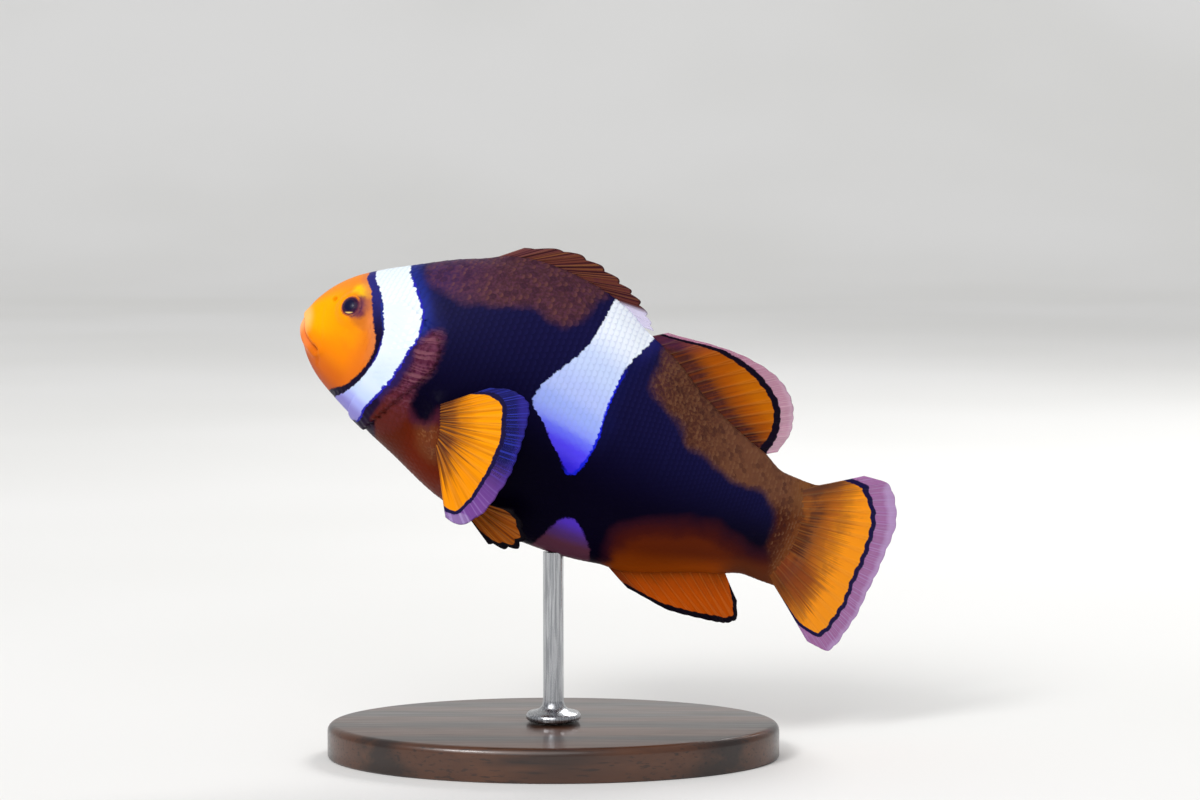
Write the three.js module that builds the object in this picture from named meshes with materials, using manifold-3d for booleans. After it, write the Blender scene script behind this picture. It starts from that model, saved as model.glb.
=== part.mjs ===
// An anemonefish, life size, held over a flat oval base by one rod.
// Millimetres, +Z up. The origin is the centre of the underside of the base, the head points to -X and the
// fish's left side faces -Y.
//
// The fish is first built straight: x runs from the snout to the tail, -y is its left side and z is up its
// back. bend() then curves it sideways along two arcs, and the group it hangs in tips it head up.
import * as THREE from "three";
import { mergeVertices } from "three/addons/utils/BufferGeometryUtils.js";
import Module from "manifold-3d";

const wasm = await Module();
wasm.setup();

// ---------- driving dimensions ----------

const GAP = 0.3; // clearance between neighbouring pieces
const STEM_END = 79.3; // where the flesh stops and the tail fin starts

const PITCH = THREE.MathUtils.degToRad(21.7); // head up
const HEAD_BEND = { from: 36.8, radius: 115 }; // the head turns to the fish's right
const TAIL_BEND = { from: 44.8, radius: 88 }; // and so does the tail

// The body in side view and plan: distance from the snout, back, belly and half width there.
const BODY = [
  [0, 2.4, 2.4, 0],
  [0.4, 5.1, 0.5, 1.6],
  [1.2, 6.7, -1.05, 2.4],
  [2.6, 8.7, -2.85, 3.2],
  [5, 11.1, -4.8, 4.2],
  [8, 13.2, -6.4, 5.3],
  [13, 16.1, -8.6, 6.6],
  [20, 19.8, -11.2, 7.7],
  [28, 22.5, -14.3, 8.1],
  [35, 22.8, -15.6, 7.9],
  [43, 21.3, -16.0, 7.1],
  [51, 17.3, -15.4, 6.0],
  [59, 12.6, -13.5, 4.7],
  [67, 9.2, -10.6, 3.4],
  [73, 7.6, -9.2, 2.5],
  [79.3, 7.2, -9.2, 1.7],
];
const BELLY_ROUNDING = 0.5; // 0.5 is an ellipse, and more is a sharper keel
const BACK_ROUNDING = 0.56;

const LIP = { height: 0.36, width: 0.55, offset: 0.7 }; // the swelling on each side of the mouth line
const MOUTH = [[-1.2, 3.4], [0.5, 2.2], [1.9, 0.3], [4.5, -1.0]]; // side view, to the corner of the mouth
const JAW_BACK = [[5.8, -3.6], [8.0, -9.5]]; // from the corner of the mouth down to the throat

const EYE = { s: 7.7, h: 6.9, radius: 2.35, depth: 1.6, sunk: 0.75, rim: 0.4 };
const NOSTRIL = { s: 4.3, h: 7.0, radius: 0.35, depth: 0.8 };

const NECK = [[22.3, 26], [19.8, 8], [16.3, -6], [14.4, -13]]; // the cut between head and trunk
const STEM_CUT = 67; // and between trunk and tail stem

const GILL = {
  rear: [[18.4, 9.0], [21.0, 7.6], [22.1, 4.6], [20.9, 1.0], [19.0, -2.4], [17.0, -5.8], [14.6, -9.3]],
  front: [[12.0, -7.8], [13.0, -3.2], [13.4, 1.0], [13.1, 5.4], [12.4, 9.2], [15.2, 10.2]],
  centre: [16.8, 1],
  raised: 0.4,
  depth: 1.1,
  teeth: 18,
  toothLength: 0.45,
};

const RAY = { root: 1.1, tip: 0.75, membrane: 0.5, edge: 0.34 }; // thicknesses of a fin
const ROOT_SUNK = 1.4; // how far a fin's root reaches into the body before it is cut clear of it

const STAND = {
  length: 66,
  width: 42,
  thickness: 5,
  chamfer: 0.8,
  rodRadius: 1.5,
  footRadius: 4,
  footHeight: 2,
  rodAt: 47, // distance from the snout at which the rod meets the belly
  bellyHeight: 29.7, // and the belly's height there
};

// ---------- the straight body ----------

const vec = (x, y, z) => new THREE.Vector3(x, y, z);

// A smooth function through [place, value] pairs.
function smoothLine(pairs) {
  const slope = pairs.map((_, i) => {
    const [a, b] = [pairs[Math.max(i - 1, 0)], pairs[Math.min(i + 1, pairs.length - 1)]];
    return (b[1] - a[1]) / (b[0] - a[0]);
  });
  return (place) => {
    const found = pairs.findIndex((pair) => pair[0] > place);
    const i = found < 0 ? pairs.length - 2 : Math.max(found - 1, 0);
    const span = pairs[i + 1][0] - pairs[i][0];
    const t = THREE.MathUtils.clamp((place - pairs[i][0]) / span, 0, 1);
    const rise = t * t * (3 - 2 * t);
    return (
      pairs[i][1] * (1 - rise) + pairs[i + 1][1] * rise +
      slope[i] * span * t * (1 - t) * (1 - t) - slope[i + 1] * span * t * t * (1 - t)
    );
  };
}

// The body's lines are smooth in the square root of the distance, which makes the snout blunt.
function bodyLine(column) {
  const line = smoothLine(BODY.map((row) => [Math.sqrt(row[0]), row[column]]));
  return (s) => line(Math.sqrt(Math.max(s, 0)));
}
const back = bodyLine(1);
const belly = bodyLine(2);
const halfWidth = bodyLine(3);

// Share of the half width at a height from 0, the belly, to 1, the back.
const fullest = BELLY_ROUNDING / (BELLY_ROUNDING + BACK_ROUNDING);
const fullness = (v) => v ** BELLY_ROUNDING * (1 - v) ** BACK_ROUNDING;
const sectionShape = (v) => fullness(v) / fullness(fullest);

function distanceToLine(points, x, z) {
  let nearest = Infinity;
  for (let i = 0; i + 1 < points.length; i++) {
    const [[ax, az], [bx, bz]] = [points[i], points[i + 1]];
    const [dx, dz] = [bx - ax, bz - az];
    const t = THREE.MathUtils.clamp(((x - ax) * dx + (z - az) * dz) / (dx * dx + dz * dz), 0, 1);
    nearest = Math.min(nearest, Math.hypot(x - ax - t * dx, z - az - t * dz));
  }
  return nearest;
}

function lipSwelling(s, h) {
  const away = (distanceToLine(MOUTH, s, h) - LIP.offset) / LIP.width;
  return LIP.height * Math.exp(-away * away);
}

// A point of the smooth body: q is the square root of the distance from the snout, and turn goes once round
// the section, from the belly up the left side to the back.
function smoothPoint(q, turn) {
  const s = q * q;
  const v = (1 - Math.cos(turn)) / 2;
  const h = belly(s) + (back(s) - belly(s)) * v;
  return vec(s, -Math.sign(Math.sin(turn)) * halfWidth(s) * sectionShape(v), h);
}

const STEP = 1e-3;
function normalAt(q, turn) {
  const along = smoothPoint(q + STEP, turn).sub(smoothPoint(Math.max(q - STEP, 1e-6), turn));
  const round = smoothPoint(q, turn + STEP).sub(smoothPoint(q, turn - STEP));
  return along.cross(round).normalize();
}

function bodyPoint(q, turn, grown) {
  const point = smoothPoint(q, turn);
  return point.addScaledVector(normalAt(q, turn), grown + lipSwelling(point.x, point.z));
}

// Where the left side of the body is at a distance s and a height h, and the way it faces there.
function flank(s, h) {
  const v = (h - belly(s)) / (back(s) - belly(s));
  const turn = Math.acos(1 - 2 * v);
  return { point: smoothPoint(Math.sqrt(s), turn), normal: normalAt(Math.sqrt(s), turn) };
}

// ---------- meshes and solids ----------

function meshGeometry(points, index) {
  const geometry = new THREE.BufferGeometry().setFromPoints(points);
  geometry.setIndex(index);
  return geometry;
}

// Closed rings of equal count, joined in turn and closed by a point at each end.
function ringsGeometry(rings, first, last) {
  const count = rings[0].length;
  const points = [...rings.flat(), first, last];
  const [start, end] = [points.length - 2, points.length - 1];
  const index = [];
  const lastRing = (rings.length - 1) * count;
  for (let j = 0; j < count; j++) {
    const k = (j + 1) % count;
    index.push(start, j, k, end, lastRing + k, lastRing + j);
    for (let i = 0; i + 1 < rings.length; i++) {
      const [a, b] = [i * count, (i + 1) * count];
      index.push(a + j, b + j, b + k, a + j, b + k, a + k);
    }
  }
  return meshGeometry(points, index);
}

// A solid whose faces point out, whichever way the geometry was wound.
function solid(geometry) {
  const bare = geometry.clone();
  for (const name of ["normal", "uv"]) bare.deleteAttribute(name);
  const merged = mergeVertices(bare, 1e-4);
  const corners = new Uint32Array(merged.index.array);
  const p = merged.attributes.position;
  let volume = 0;
  const [a, b, c] = [vec(), vec(), vec()];
  for (let i = 0; i < corners.length; i += 3) {
    a.fromBufferAttribute(p, corners[i]);
    b.fromBufferAttribute(p, corners[i + 1]);
    c.fromBufferAttribute(p, corners[i + 2]);
    volume += a.dot(b.cross(c));
  }
  if (volume < 0) corners.reverse();
  const mesh = new wasm.Mesh({ numProp: 3, vertProperties: p.array, triVerts: corners });
  return new wasm.Manifold(mesh);
}

const largest = (made) => made.decompose().sort((a, b) => b.volume() - a.volume())[0];

const BODY_STATIONS = 46;
const BODY_SIDES = 32;
const CORE_STATIONS = 30;
const CORE_SIDES = 24;
const SNOUT_STEP = 0.3; // the first ring's distance, as a square root

// The whole body, grown by a distance or shrunk by a negative one.
function wholeBody(grown, stations = BODY_STATIONS, sides = BODY_SIDES) {
  const rings = [];
  const [q0, q1] = [SNOUT_STEP, Math.sqrt(STEM_END)];
  for (let i = 0; i <= stations; i++) {
    const q = q0 + ((q1 - q0) * i) / stations;
    const ring = [];
    for (let j = 0; j < sides; j++) ring.push(bodyPoint(q, (2 * Math.PI * (j + 0.5)) / sides, grown));
    rings.push(ring);
  }
  for (const point of rings[stations]) point.x = STEM_END + grown;
  const middle = (back(STEM_END) + belly(STEM_END)) / 2;
  return solid(ringsGeometry(rings, vec(-grown, 0, BODY[0][1]), vec(STEM_END + grown, 0, middle)));
}

// A side-view outline, extruded sideways from near to far: both are measured to the fish's left.
function sidePrism(outline, near, far) {
  const shape = new THREE.Shape(outline.map(([x, z]) => new THREE.Vector2(x, z)));
  const geometry = new THREE.ExtrudeGeometry(shape, { depth: Math.abs(far - near), bevelEnabled: false });
  geometry.rotateX(Math.PI / 2).translate(0, -Math.min(near, far), 0);
  return solid(geometry);
}

// The outline of a strip of the given width along a side-view line.
function stripOutline(line, width) {
  const sides = [[], []];
  line.forEach(([x, z], i) => {
    const [a, b] = [line[Math.max(i - 1, 0)], line[Math.min(i + 1, line.length - 1)]];
    const length = Math.hypot(b[0] - a[0], b[1] - a[1]);
    const across = [(-(b[1] - a[1]) / length) * (width / 2), ((b[0] - a[0]) / length) * (width / 2)];
    sides[0].push([x + across[0], z + across[1]]);
    sides[1].unshift([x - across[0], z - across[1]]);
  });
  return sides.flat();
}

// ---------- gill covers ----------

// The cover's outline: a smooth front, and a rear edge with short teeth. grown widens it all round.
function gillOutline(grown) {
  const [x0, z0] = GILL.centre;
  const smooth = (line, count) => {
    const curve = new THREE.SplineCurve(line.map(([x, z]) => new THREE.Vector2(x, z)));
    return curve.getSpacedPoints(count).map((p) => [p.x, p.y]);
  };
  const rear = smooth(GILL.rear, 2 * GILL.teeth);
  const edge = [
    ...rear.map((p, i) => [p, i % 2 ? GILL.toothLength : 0]),
    ...smooth(GILL.front, 10).map((p) => [p, 0]),
  ];
  return edge.map(([[x, z], tooth]) => {
    const out = Math.hypot(x - x0, z - z0);
    const reach = (out + grown + tooth) / out;
    return [x0 + (x - x0) * reach, z0 + (z - z0) * reach];
  });
}

const GILL_NEAR = 1.6; // the covers stop this far from the middle of the throat
const GILL_FAR = 14;
const bothSides = (make) => make(1).add(make(-1));
const gillPrism = (grown) => (side) =>
  sidePrism(gillOutline(grown), side * (GILL_NEAR - grown), side * GILL_FAR);

// ---------- head details ----------

// A turned shape whose axis points out of the left flank, from [radius, distance along the axis] pairs.
function turnedOnFlank(profile, segments, place, sunk) {
  const { point, normal } = flank(place.s, place.h);
  const geometry = new THREE.LatheGeometry(profile.map(([r, y]) => new THREE.Vector2(r, y)), segments);
  geometry.applyQuaternion(new THREE.Quaternion().setFromUnitVectors(vec(0, 1, 0), normal));
  return geometry.translate(...point.addScaledVector(normal, -sunk));
}

function mirroredIf(geometry, side) {
  return side < 0 ? geometry.scale(1, -1, 1) : geometry;
}

// An eyeball, flattened along its axis. grown makes the socket.
function eyeball(grown, side) {
  const profile = [];
  const steps = 10;
  for (let i = 0; i <= steps; i++) {
    const turn = (Math.PI * i) / steps - Math.PI / 2;
    profile.push([
      Math.max(Math.cos(turn) * (EYE.radius + grown), 0),
      Math.sin(turn) * (EYE.depth + grown),
    ]);
  }
  profile[0][0] = profile[steps][0] = 0;
  return solid(mirroredIf(turnedOnFlank(profile, 16, EYE, EYE.sunk), side));
}

// The rim of skin round the eye, a ring half sunk in the head.
function eyeRim(side) {
  const { point, normal } = flank(EYE.s, EYE.h);
  const ring = new THREE.TorusGeometry(EYE.radius + GAP + EYE.rim * 0.4, EYE.rim, 8, 24);
  ring.applyQuaternion(new THREE.Quaternion().setFromUnitVectors(vec(0, 0, 1), normal));
  ring.translate(...point.addScaledVector(normal, -EYE.rim * 0.2));
  return solid(mirroredIf(ring, side));
}

function nostrilPit(side) {
  const { radius, depth } = NOSTRIL;
  const profile = [[0, -depth], [radius * 0.7, -depth * 0.7], [radius, depth], [0, depth]];
  return solid(mirroredIf(turnedOnFlank(profile, 10, NOSTRIL, 0), side));
}

// ---------- fins ----------

// A thin fin with a ridge along each ray. place(c, r) is the middle surface, from c = 0 to 1 across the rays
// and r = 0 to 1 from root to tip. Both faces are split into triangles alike.
function finGeometry({ rays, rows, place, root = RAY.root, tip = RAY.tip, notch = 0.04 }) {
  const columns = 2 * rays - 1;
  const faces = [[], []];
  for (let i = 0; i < columns; i++) {
    const onRay = i % 2 === 0;
    for (let j = 0; j <= rows; j++) {
      const c = i / (columns - 1);
      const reach = onRay ? 1 : 1 - notch;
      const r = (reach * j) / rows;
      const nudge = 1e-3;
      const across = place(Math.min(c + nudge, 1), r).sub(place(Math.max(c - nudge, 0), r));
      const along = place(c, r + nudge).sub(place(c, r - nudge));
      const normal = across.cross(along).normalize();
      const ridge = onRay ? root + (tip - root) * r : RAY.membrane + (root - RAY.membrane) * (1 - r) ** 6;
      const thickness = j === rows ? RAY.edge : ridge;
      faces[0].push(place(c, r).addScaledVector(normal, thickness / 2));
      faces[1].push(place(c, r).addScaledVector(normal, -thickness / 2));
    }
  }
  const index = [];
  const [line, other] = [rows + 1, faces[0].length];
  const wall = (a, b) => index.push(a, b, b + other, a, b + other, a + other);
  for (let i = 0; i + 1 < columns; i++) {
    for (let j = 0; j < rows; j++) {
      const [a, b] = [i * line + j, (i + 1) * line + j];
      index.push(a, b, b + 1, a, b + 1, a + 1);
      index.push(a + other, b + other + 1, b + other, a + other, a + other + 1, b + other + 1);
    }
    wall((i + 1) * line, i * line);
    wall(i * line + rows, (i + 1) * line + rows);
  }
  for (let j = 0; j < rows; j++) {
    wall(j, j + 1);
    wall((columns - 1) * line + j + 1, (columns - 1) * line + j);
  }
  return meshGeometry(faces.flat(), index);
}

// A fin along the middle of the back or the belly. line gives the height of its root, base the distances
// between which it stands, and lean and length are [share of the base, value] pairs: the angle of each ray
// to the edge that it grows from, in degrees, and how far it reaches out of the body.
function middleFin({ line, base, lean, length, curl = 0, below = false }) {
  const [angle, reach] = [smoothLine(lean), smoothLine(length)];
  const up = below ? -1 : 1;
  return (c, r) => {
    const s = base[0] + (base[1] - base[0]) * c;
    const stand = THREE.MathUtils.degToRad(angle(c));
    const turn = stand + up * Math.atan((line(s + 0.5) - line(s - 0.5)));
    const sunk = ROOT_SUNK / Math.sin(stand);
    const out = r * (reach(c) + sunk) - sunk;
    const bentBack = curl * Math.max(out, 0) ** 2;
    return vec(
      s + out * Math.cos(turn) + bentBack * Math.sin(turn),
      0,
      line(s) + up * (out * Math.sin(turn) - bentBack * Math.cos(turn)),
    );
  };
}

const spinyDorsal = {
  rays: 10,
  rows: 4,
  notch: 0.12,
  place: middleFin({
    line: back,
    base: [23.3, 46.6],
    lean: [[0, 20], [0.3, 20], [0.6, 17], [0.85, 18], [1, 28]],
    length: [[0, 4.4], [0.2, 7.0], [0.5, 7.4], [0.8, 5.0], [1, 2.0]],
  }),
};

const softDorsal = {
  rays: 15,
  rows: 5,
  place: middleFin({
    line: back,
    base: [48.3, 70],
    lean: [[0, 63], [0.1, 66], [0.25, 70], [0.4, 67], [0.6, 57], [0.8, 49], [1, 45]],
    length: [
      [0, 2.7], [0.1, 5.4], [0.2, 8.1], [0.3, 10.4], [0.4, 12.0], [0.5, 12.5],
      [0.6, 12.0], [0.7, 10.6], [0.8, 8.6], [0.9, 6.0], [1, 3.0],
    ],
    curl: 0.004,
  }),
};

const analFin = {
  rays: 13,
  rows: 5,
  place: middleFin({
    line: belly,
    below: true,
    base: [55, 71.8],
    lean: [[0, 43], [0.3, 54], [0.7, 58], [1, 56]],
    length: [[0, 4.5], [0.25, 8.0], [0.55, 10.4], [0.85, 9.2], [1, 5.2]],
    curl: 0.008,
  }),
};

// The tail fin's rays spread from the end of the stem. t runs from -1, the lowest ray, to 1, the highest.
const TAIL = {
  middle: -1.0,
  rootSpread: 7.4,
  turn: -4,
  spread: 31,
  length: [[-1, 12.4], [-0.85, 17.0], [-0.5, 17.8], [0, 17.2], [0.5, 17.2], [0.85, 14.3], [1, 9.5]],
  sunk: 1.0,
};
const tailLength = smoothLine(TAIL.length);
const tailFin = {
  rays: 15,
  rows: 6,
  root: 2.2,
  place: (c, r) => {
    const t = 2 * c - 1;
    const turn = THREE.MathUtils.degToRad(TAIL.turn + TAIL.spread * t);
    const out = r * (tailLength(t) + TAIL.sunk) - TAIL.sunk;
    return vec(
      STEM_END + out * Math.cos(turn),
      0,
      TAIL.middle + TAIL.rootSpread * t + out * Math.sin(turn),
    );
  },
};

// A paired fin fans out of the flank: root is the line of its ray roots there, flare how far the rays stand
// off the flank, and cup how much they curl back towards it.
function pairedFin({ root, lean, length, flare, cup, sunk }) {
  const [angle, reach] = [smoothLine(lean), smoothLine(length)];
  const off = THREE.MathUtils.degToRad(flare);
  const ends = root.map(([s, h]) => flank(s, h));
  return (c, r) => {
    const from = ends[0].point.clone().lerp(ends[1].point, c);
    const out = ends[0].normal.clone().lerp(ends[1].normal, c).normalize();
    const rearward = vec(1, 0, 0).addScaledVector(out, -out.x).normalize();
    const upward = out.clone().cross(rearward);
    const turn = THREE.MathUtils.degToRad(angle(c));
    const far = r * (reach(c) + sunk) - sunk;
    const standOff = far * Math.sin(off) - cup * Math.max(far, 0) ** 2;
    return from
      .addScaledVector(rearward, far * Math.cos(off) * Math.cos(turn))
      .addScaledVector(upward, far * Math.cos(off) * Math.sin(turn))
      .addScaledVector(out, standOff);
  };
}

const pectoralFin = {
  rays: 16,
  rows: 5,
  root: 1.8,
  place: pairedFin({
    root: [[24.5, -1.0], [26.0, -6.4]],
    lean: [[0, 46], [0.3, 37], [0.6, 13], [0.8, -13], [1, -53]],
    length: [[0, 11.0], [0.1, 15.0], [0.28, 17.8], [0.5, 16.0], [0.75, 14.2], [0.9, 13.6], [1, 12.0]],
    flare: 36,
    cup: 0.008,
    sunk: 1.6,
  }),
};

const pelvicFin = {
  rays: 6,
  rows: 6,
  place: pairedFin({
    root: [[29.0, -11.4], [32.6, -12.4]],
    lean: [[0, -26], [0.3, -15], [0.6, 1], [0.8, 16], [1, 32]],
    length: [[0, 10.6], [0.35, 12.6], [0.6, 12.2], [0.8, 10.2], [1, 8.0]],
    flare: 20,
    cup: 0.006,
    sunk: 1.6,
  }),
};

// ---------- the bend and the pose ----------

// Bends the straight fish: the stretches before HEAD_BEND.from and after TAIL_BEND.from follow arcs.
function bend(point) {
  const [ahead, behind] = [HEAD_BEND.from - point.x, point.x - TAIL_BEND.from];
  if (ahead <= 0 && behind <= 0) return point;
  const arc = ahead > 0 ? HEAD_BEND : TAIL_BEND;
  const sign = ahead > 0 ? -1 : 1;
  const turn = Math.max(ahead, behind) / arc.radius;
  const radius = arc.radius - point.y;
  return vec(arc.from + sign * radius * Math.sin(turn), arc.radius - radius * Math.cos(turn), point.z);
}

// Turns a finished solid into a geometry, bent, and mirrored to the fish's right where side is -1.
function bentGeometry(made, side = 1) {
  const { vertProperties: raw, triVerts, numProp } = made.getMesh();
  const points = [];
  for (let i = 0; i < raw.length; i += numProp) points.push(bend(vec(raw[i], side * raw[i + 1], raw[i + 2])));
  const index = side < 0 ? Array.from(triVerts).reverse() : Array.from(triVerts);
  const geometry = meshGeometry(points, index);
  geometry.computeVertexNormals();
  return geometry;
}

const fish = new THREE.Group();
fish.rotation.y = PITCH;
// The belly is over the origin where the rod meets it.
const rodTop = vec(STAND.rodAt, 0, belly(STAND.rodAt)).applyAxisAngle(vec(0, 1, 0), PITCH);
fish.position.set(-rodTop.x, 0, STAND.bellyHeight - rodTop.z);

// ---------- materials ----------

const paint = (color, roughness, metalness = 0) =>
  new THREE.MeshStandardMaterial({ color, roughness, metalness });
const faceOrange = paint(0xf39a12, 0.45);
const gillDark = paint(0x2a2038, 0.45);
const flankBlack = paint(0x14101f, 0.45);
const stemBrown = paint(0x5b3a2c, 0.5);
const finBrown = paint(0x6a4128, 0.5);
const finOrange = paint(0xe88a12, 0.45);
const eyeDark = paint(0x120c1c, 0.1);
const standBlack = paint(0x1b1b1d, 0.35);
const rodSteel = paint(0xb9bcc0, 0.3, 1);

function addMesh(group, name, geometry, material) {
  const mesh = new THREE.Mesh(geometry, material);
  mesh.name = name;
  group.add(mesh);
}

// ---------- flesh ----------

const body = wholeBody(0);
const clearOfBody = wholeBody(GAP);

const raised = wholeBody(GILL.raised).intersect(bothSides(gillPrism(0)));
const fullBody = body.add(raised).add(bothSides(eyeRim));
const coverBed = wholeBody(-GILL.depth, CORE_STATIONS, CORE_SIDES);
const coverFloor = wholeBody(-GILL.depth - GAP, CORE_STATIONS, CORE_SIDES);

function gillCover(side) {
  return largest(fullBody.intersect(gillPrism(0)(side)).subtract(coverBed));
}

const neckCut = sidePrism(stripOutline(NECK, GAP), -20, 20);
const stemCut = sidePrism(stripOutline([[STEM_CUT, 30], [STEM_CUT, -30]], GAP), -20, 20);
const jawCut = sidePrism(stripOutline([...MOUTH, ...JAW_BACK], GAP), -20, 20);

const core = fullBody
  .subtract(bothSides(gillPrism(GAP)).subtract(coverFloor))
  .subtract(bothSides((side) => eyeball(GAP, side)))
  .subtract(bothSides(nostrilPit))
  .subtract(neckCut)
  .subtract(stemCut)
  .subtract(jawCut);

// The cuts leave four pieces: the one whose box is centred furthest forward is the jaw, and so on back.
const pieces = core
  .decompose()
  .sort((a, b) => b.volume() - a.volume())
  .slice(0, 4)
  .sort((a, b) => {
    const [boxA, boxB] = [a.boundingBox(), b.boundingBox()];
    return boxA.min[0] + boxA.max[0] - boxB.min[0] - boxB.max[0];
  });
const [lowerJaw, head, trunk, tailStem] = pieces;

addMesh(fish, "lower_jaw", bentGeometry(lowerJaw), faceOrange);
addMesh(fish, "head", bentGeometry(head), faceOrange);
addMesh(fish, "trunk", bentGeometry(trunk), flankBlack);
addMesh(fish, "tail_stem", bentGeometry(tailStem), stemBrown);
for (const [name, side] of [["left", 1], ["right", -1]]) {
  addMesh(fish, `gill_cover_${name}`, bentGeometry(gillCover(1), side), gillDark);
  addMesh(fish, `eye_${name}`, bentGeometry(eyeball(0, 1), side), eyeDark);
}

// ---------- fins ----------

const rooted = (fin) => largest(solid(finGeometry(fin)).subtract(clearOfBody));

addMesh(fish, "dorsal_fin_spiny", bentGeometry(rooted(spinyDorsal)), finBrown);
addMesh(fish, "dorsal_fin_soft", bentGeometry(rooted(softDorsal)), finOrange);
addMesh(fish, "anal_fin", bentGeometry(rooted(analFin)), finOrange);
addMesh(fish, "tail_fin", bentGeometry(rooted(tailFin)), finOrange);
const [pectoral, pelvic] = [rooted(pectoralFin), rooted(pelvicFin)];
for (const [name, side] of [["left", 1], ["right", -1]]) {
  addMesh(fish, `pectoral_fin_${name}`, bentGeometry(pectoral, side), finOrange);
  addMesh(fish, `pelvic_fin_${name}`, bentGeometry(pelvic, side), finOrange);
}

// ---------- stand ----------

function standBase() {
  const oval = new THREE.Shape();
  oval.absellipse(0, 0, STAND.length / 2 - STAND.chamfer, STAND.width / 2 - STAND.chamfer, 0, 2 * Math.PI);
  const geometry = new THREE.ExtrudeGeometry(oval, {
    depth: STAND.thickness - 2 * STAND.chamfer,
    curveSegments: 24,
    bevelSize: STAND.chamfer,
    bevelThickness: STAND.chamfer,
    bevelSegments: 1,
  });
  return geometry.translate(0, 0, STAND.chamfer);
}

// The rod and its foot, cut off where they meet the belly.
function standRod() {
  const foot = STAND.thickness + GAP;
  const top = STAND.bellyHeight + 2 * STAND.rodRadius;
  const profile = [
    [0, foot],
    [STAND.footRadius, foot],
    [STAND.footRadius, foot + STAND.footHeight / 2],
    [STAND.rodRadius, foot + STAND.footHeight],
    [STAND.rodRadius, top],
    [0, top],
  ].map(([r, z]) => new THREE.Vector2(r, z));
  const rod = solid(new THREE.LatheGeometry(profile, 24).rotateX(Math.PI / 2));
  fish.updateMatrixWorld(true);
  const standingBody = solid(bentGeometry(clearOfBody).applyMatrix4(fish.matrixWorld));
  const pieces = rod.subtract(standingBody).decompose();
  const lowest = pieces.sort((a, b) => a.boundingBox().min[2] - b.boundingBox().min[2])[0];
  const { vertProperties, triVerts } = lowest.getMesh();
  const geometry = new THREE.BufferGeometry();
  geometry.setAttribute("position", new THREE.BufferAttribute(vertProperties, 3));
  geometry.setIndex(Array.from(triVerts));
  geometry.computeVertexNormals();
  return geometry;
}

const model = new THREE.Group();
model.add(fish);
addMesh(model, "stand_base", standBase(), standBlack);
addMesh(model, "stand_rod", standRod(), rodSteel);

export default model;
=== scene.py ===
import math

import bmesh
import bpy
import numpy as np
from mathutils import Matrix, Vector


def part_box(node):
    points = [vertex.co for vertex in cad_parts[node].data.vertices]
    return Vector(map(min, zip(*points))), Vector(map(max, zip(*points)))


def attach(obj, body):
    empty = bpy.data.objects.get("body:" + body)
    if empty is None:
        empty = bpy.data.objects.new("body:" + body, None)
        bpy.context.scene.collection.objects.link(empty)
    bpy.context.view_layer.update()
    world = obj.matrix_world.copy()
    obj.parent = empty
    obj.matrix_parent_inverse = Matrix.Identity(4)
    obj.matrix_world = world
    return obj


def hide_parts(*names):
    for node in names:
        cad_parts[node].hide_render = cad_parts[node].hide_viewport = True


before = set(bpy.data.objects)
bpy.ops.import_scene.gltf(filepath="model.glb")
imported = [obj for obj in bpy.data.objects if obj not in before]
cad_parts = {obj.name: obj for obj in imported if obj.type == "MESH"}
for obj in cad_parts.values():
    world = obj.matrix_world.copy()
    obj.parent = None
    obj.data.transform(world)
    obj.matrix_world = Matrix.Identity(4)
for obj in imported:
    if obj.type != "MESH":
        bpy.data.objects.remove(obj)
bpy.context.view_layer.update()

MM = 0.001
SIDES = (("left", 1), ("right", -1))  # the left side is worked out, and the right one mirrors it
LITTLE = 1e-3  # the step over which a slope or a direction is taken
TINY = 1e-12  # keeps a division by a length safe

# ---------- the fish's sizes ----------

PITCH = math.radians(21.7)  # head up
HEAD_BEND = (36.8, 115)  # where the bend starts, and its radius
TAIL_BEND = (44.8, 88)
ROD_AT, BELLY_HEIGHT = 47, 29.7  # the belly's distance and height where the rod meets it
STEM_END = 79.3
THINS_FROM, FLESH_END = 75, 82.4  # the flesh thins out over the root of the tail fin

# Distance from the snout, back, belly and half width.
BODY = [
    (0, 2.4, 2.4, 0), (0.4, 5.1, 0.5, 1.6), (1.2, 6.7, -1.05, 2.4), (2.6, 8.7, -2.85, 3.2), (5, 11.1, -4.8, 4.2),
    (8, 13.2, -6.4, 5.3), (13, 16.1, -8.6, 6.6), (20, 19.8, -11.2, 7.7), (28, 22.5, -14.3, 8.1),
    (35, 22.8, -15.6, 7.9), (43, 21.3, -16, 7.1), (51, 17.3, -15.4, 6), (59, 12.6, -13.5, 4.7), (67, 9.2, -10.6, 3.4),
    (73, 7.6, -9.2, 2.5), (79.3, 7.2, -9.2, 1.7),
]
BELLY_ROUNDING, BACK_ROUNDING = 0.5, 0.56
COAT_DEPTH = 0.16  # the skin lies this far inside the flesh, and the scales fill the rest

# Lines in the side view, as (s, h) points.
MOUTH = [(-1.2, 3.4), (0.5, 2.2), (1.9, 0.3), (4.5, -1)]
EYE_AT = (7.7, 6.9)
EYE_RADIUS, EYE_DEPTH, EYE_SUNK = 2.35, 1.6, 0.75  # the ball is flattened, with its middle sunk under the flesh
NOSTRIL = (4.3, 7)
GILL_REAR = [(18.4, 9), (21, 7.6), (22.1, 4.6), (20.9, 1), (19, -2.4), (17, -5.8), (14.6, -9.3)]
GILL_FRONT = [(12, -7.8), (13, -3.2), (13.4, 1), (13.1, 5.4), (12.4, 9.2), (15.2, 10.2)]
CHEEK_EDGE = [(9.4, 10), (11.6, 6.6), (12.7, 2.6), (12.4, -1.4), (10.6, -4.8), (8.6, -6.2)]
PECTORAL_ROOT = [(24.5, -1), (26, -6.4)]
PELVIC_ROOT = [(29, -11.4), (32.6, -12.4)]
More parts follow.
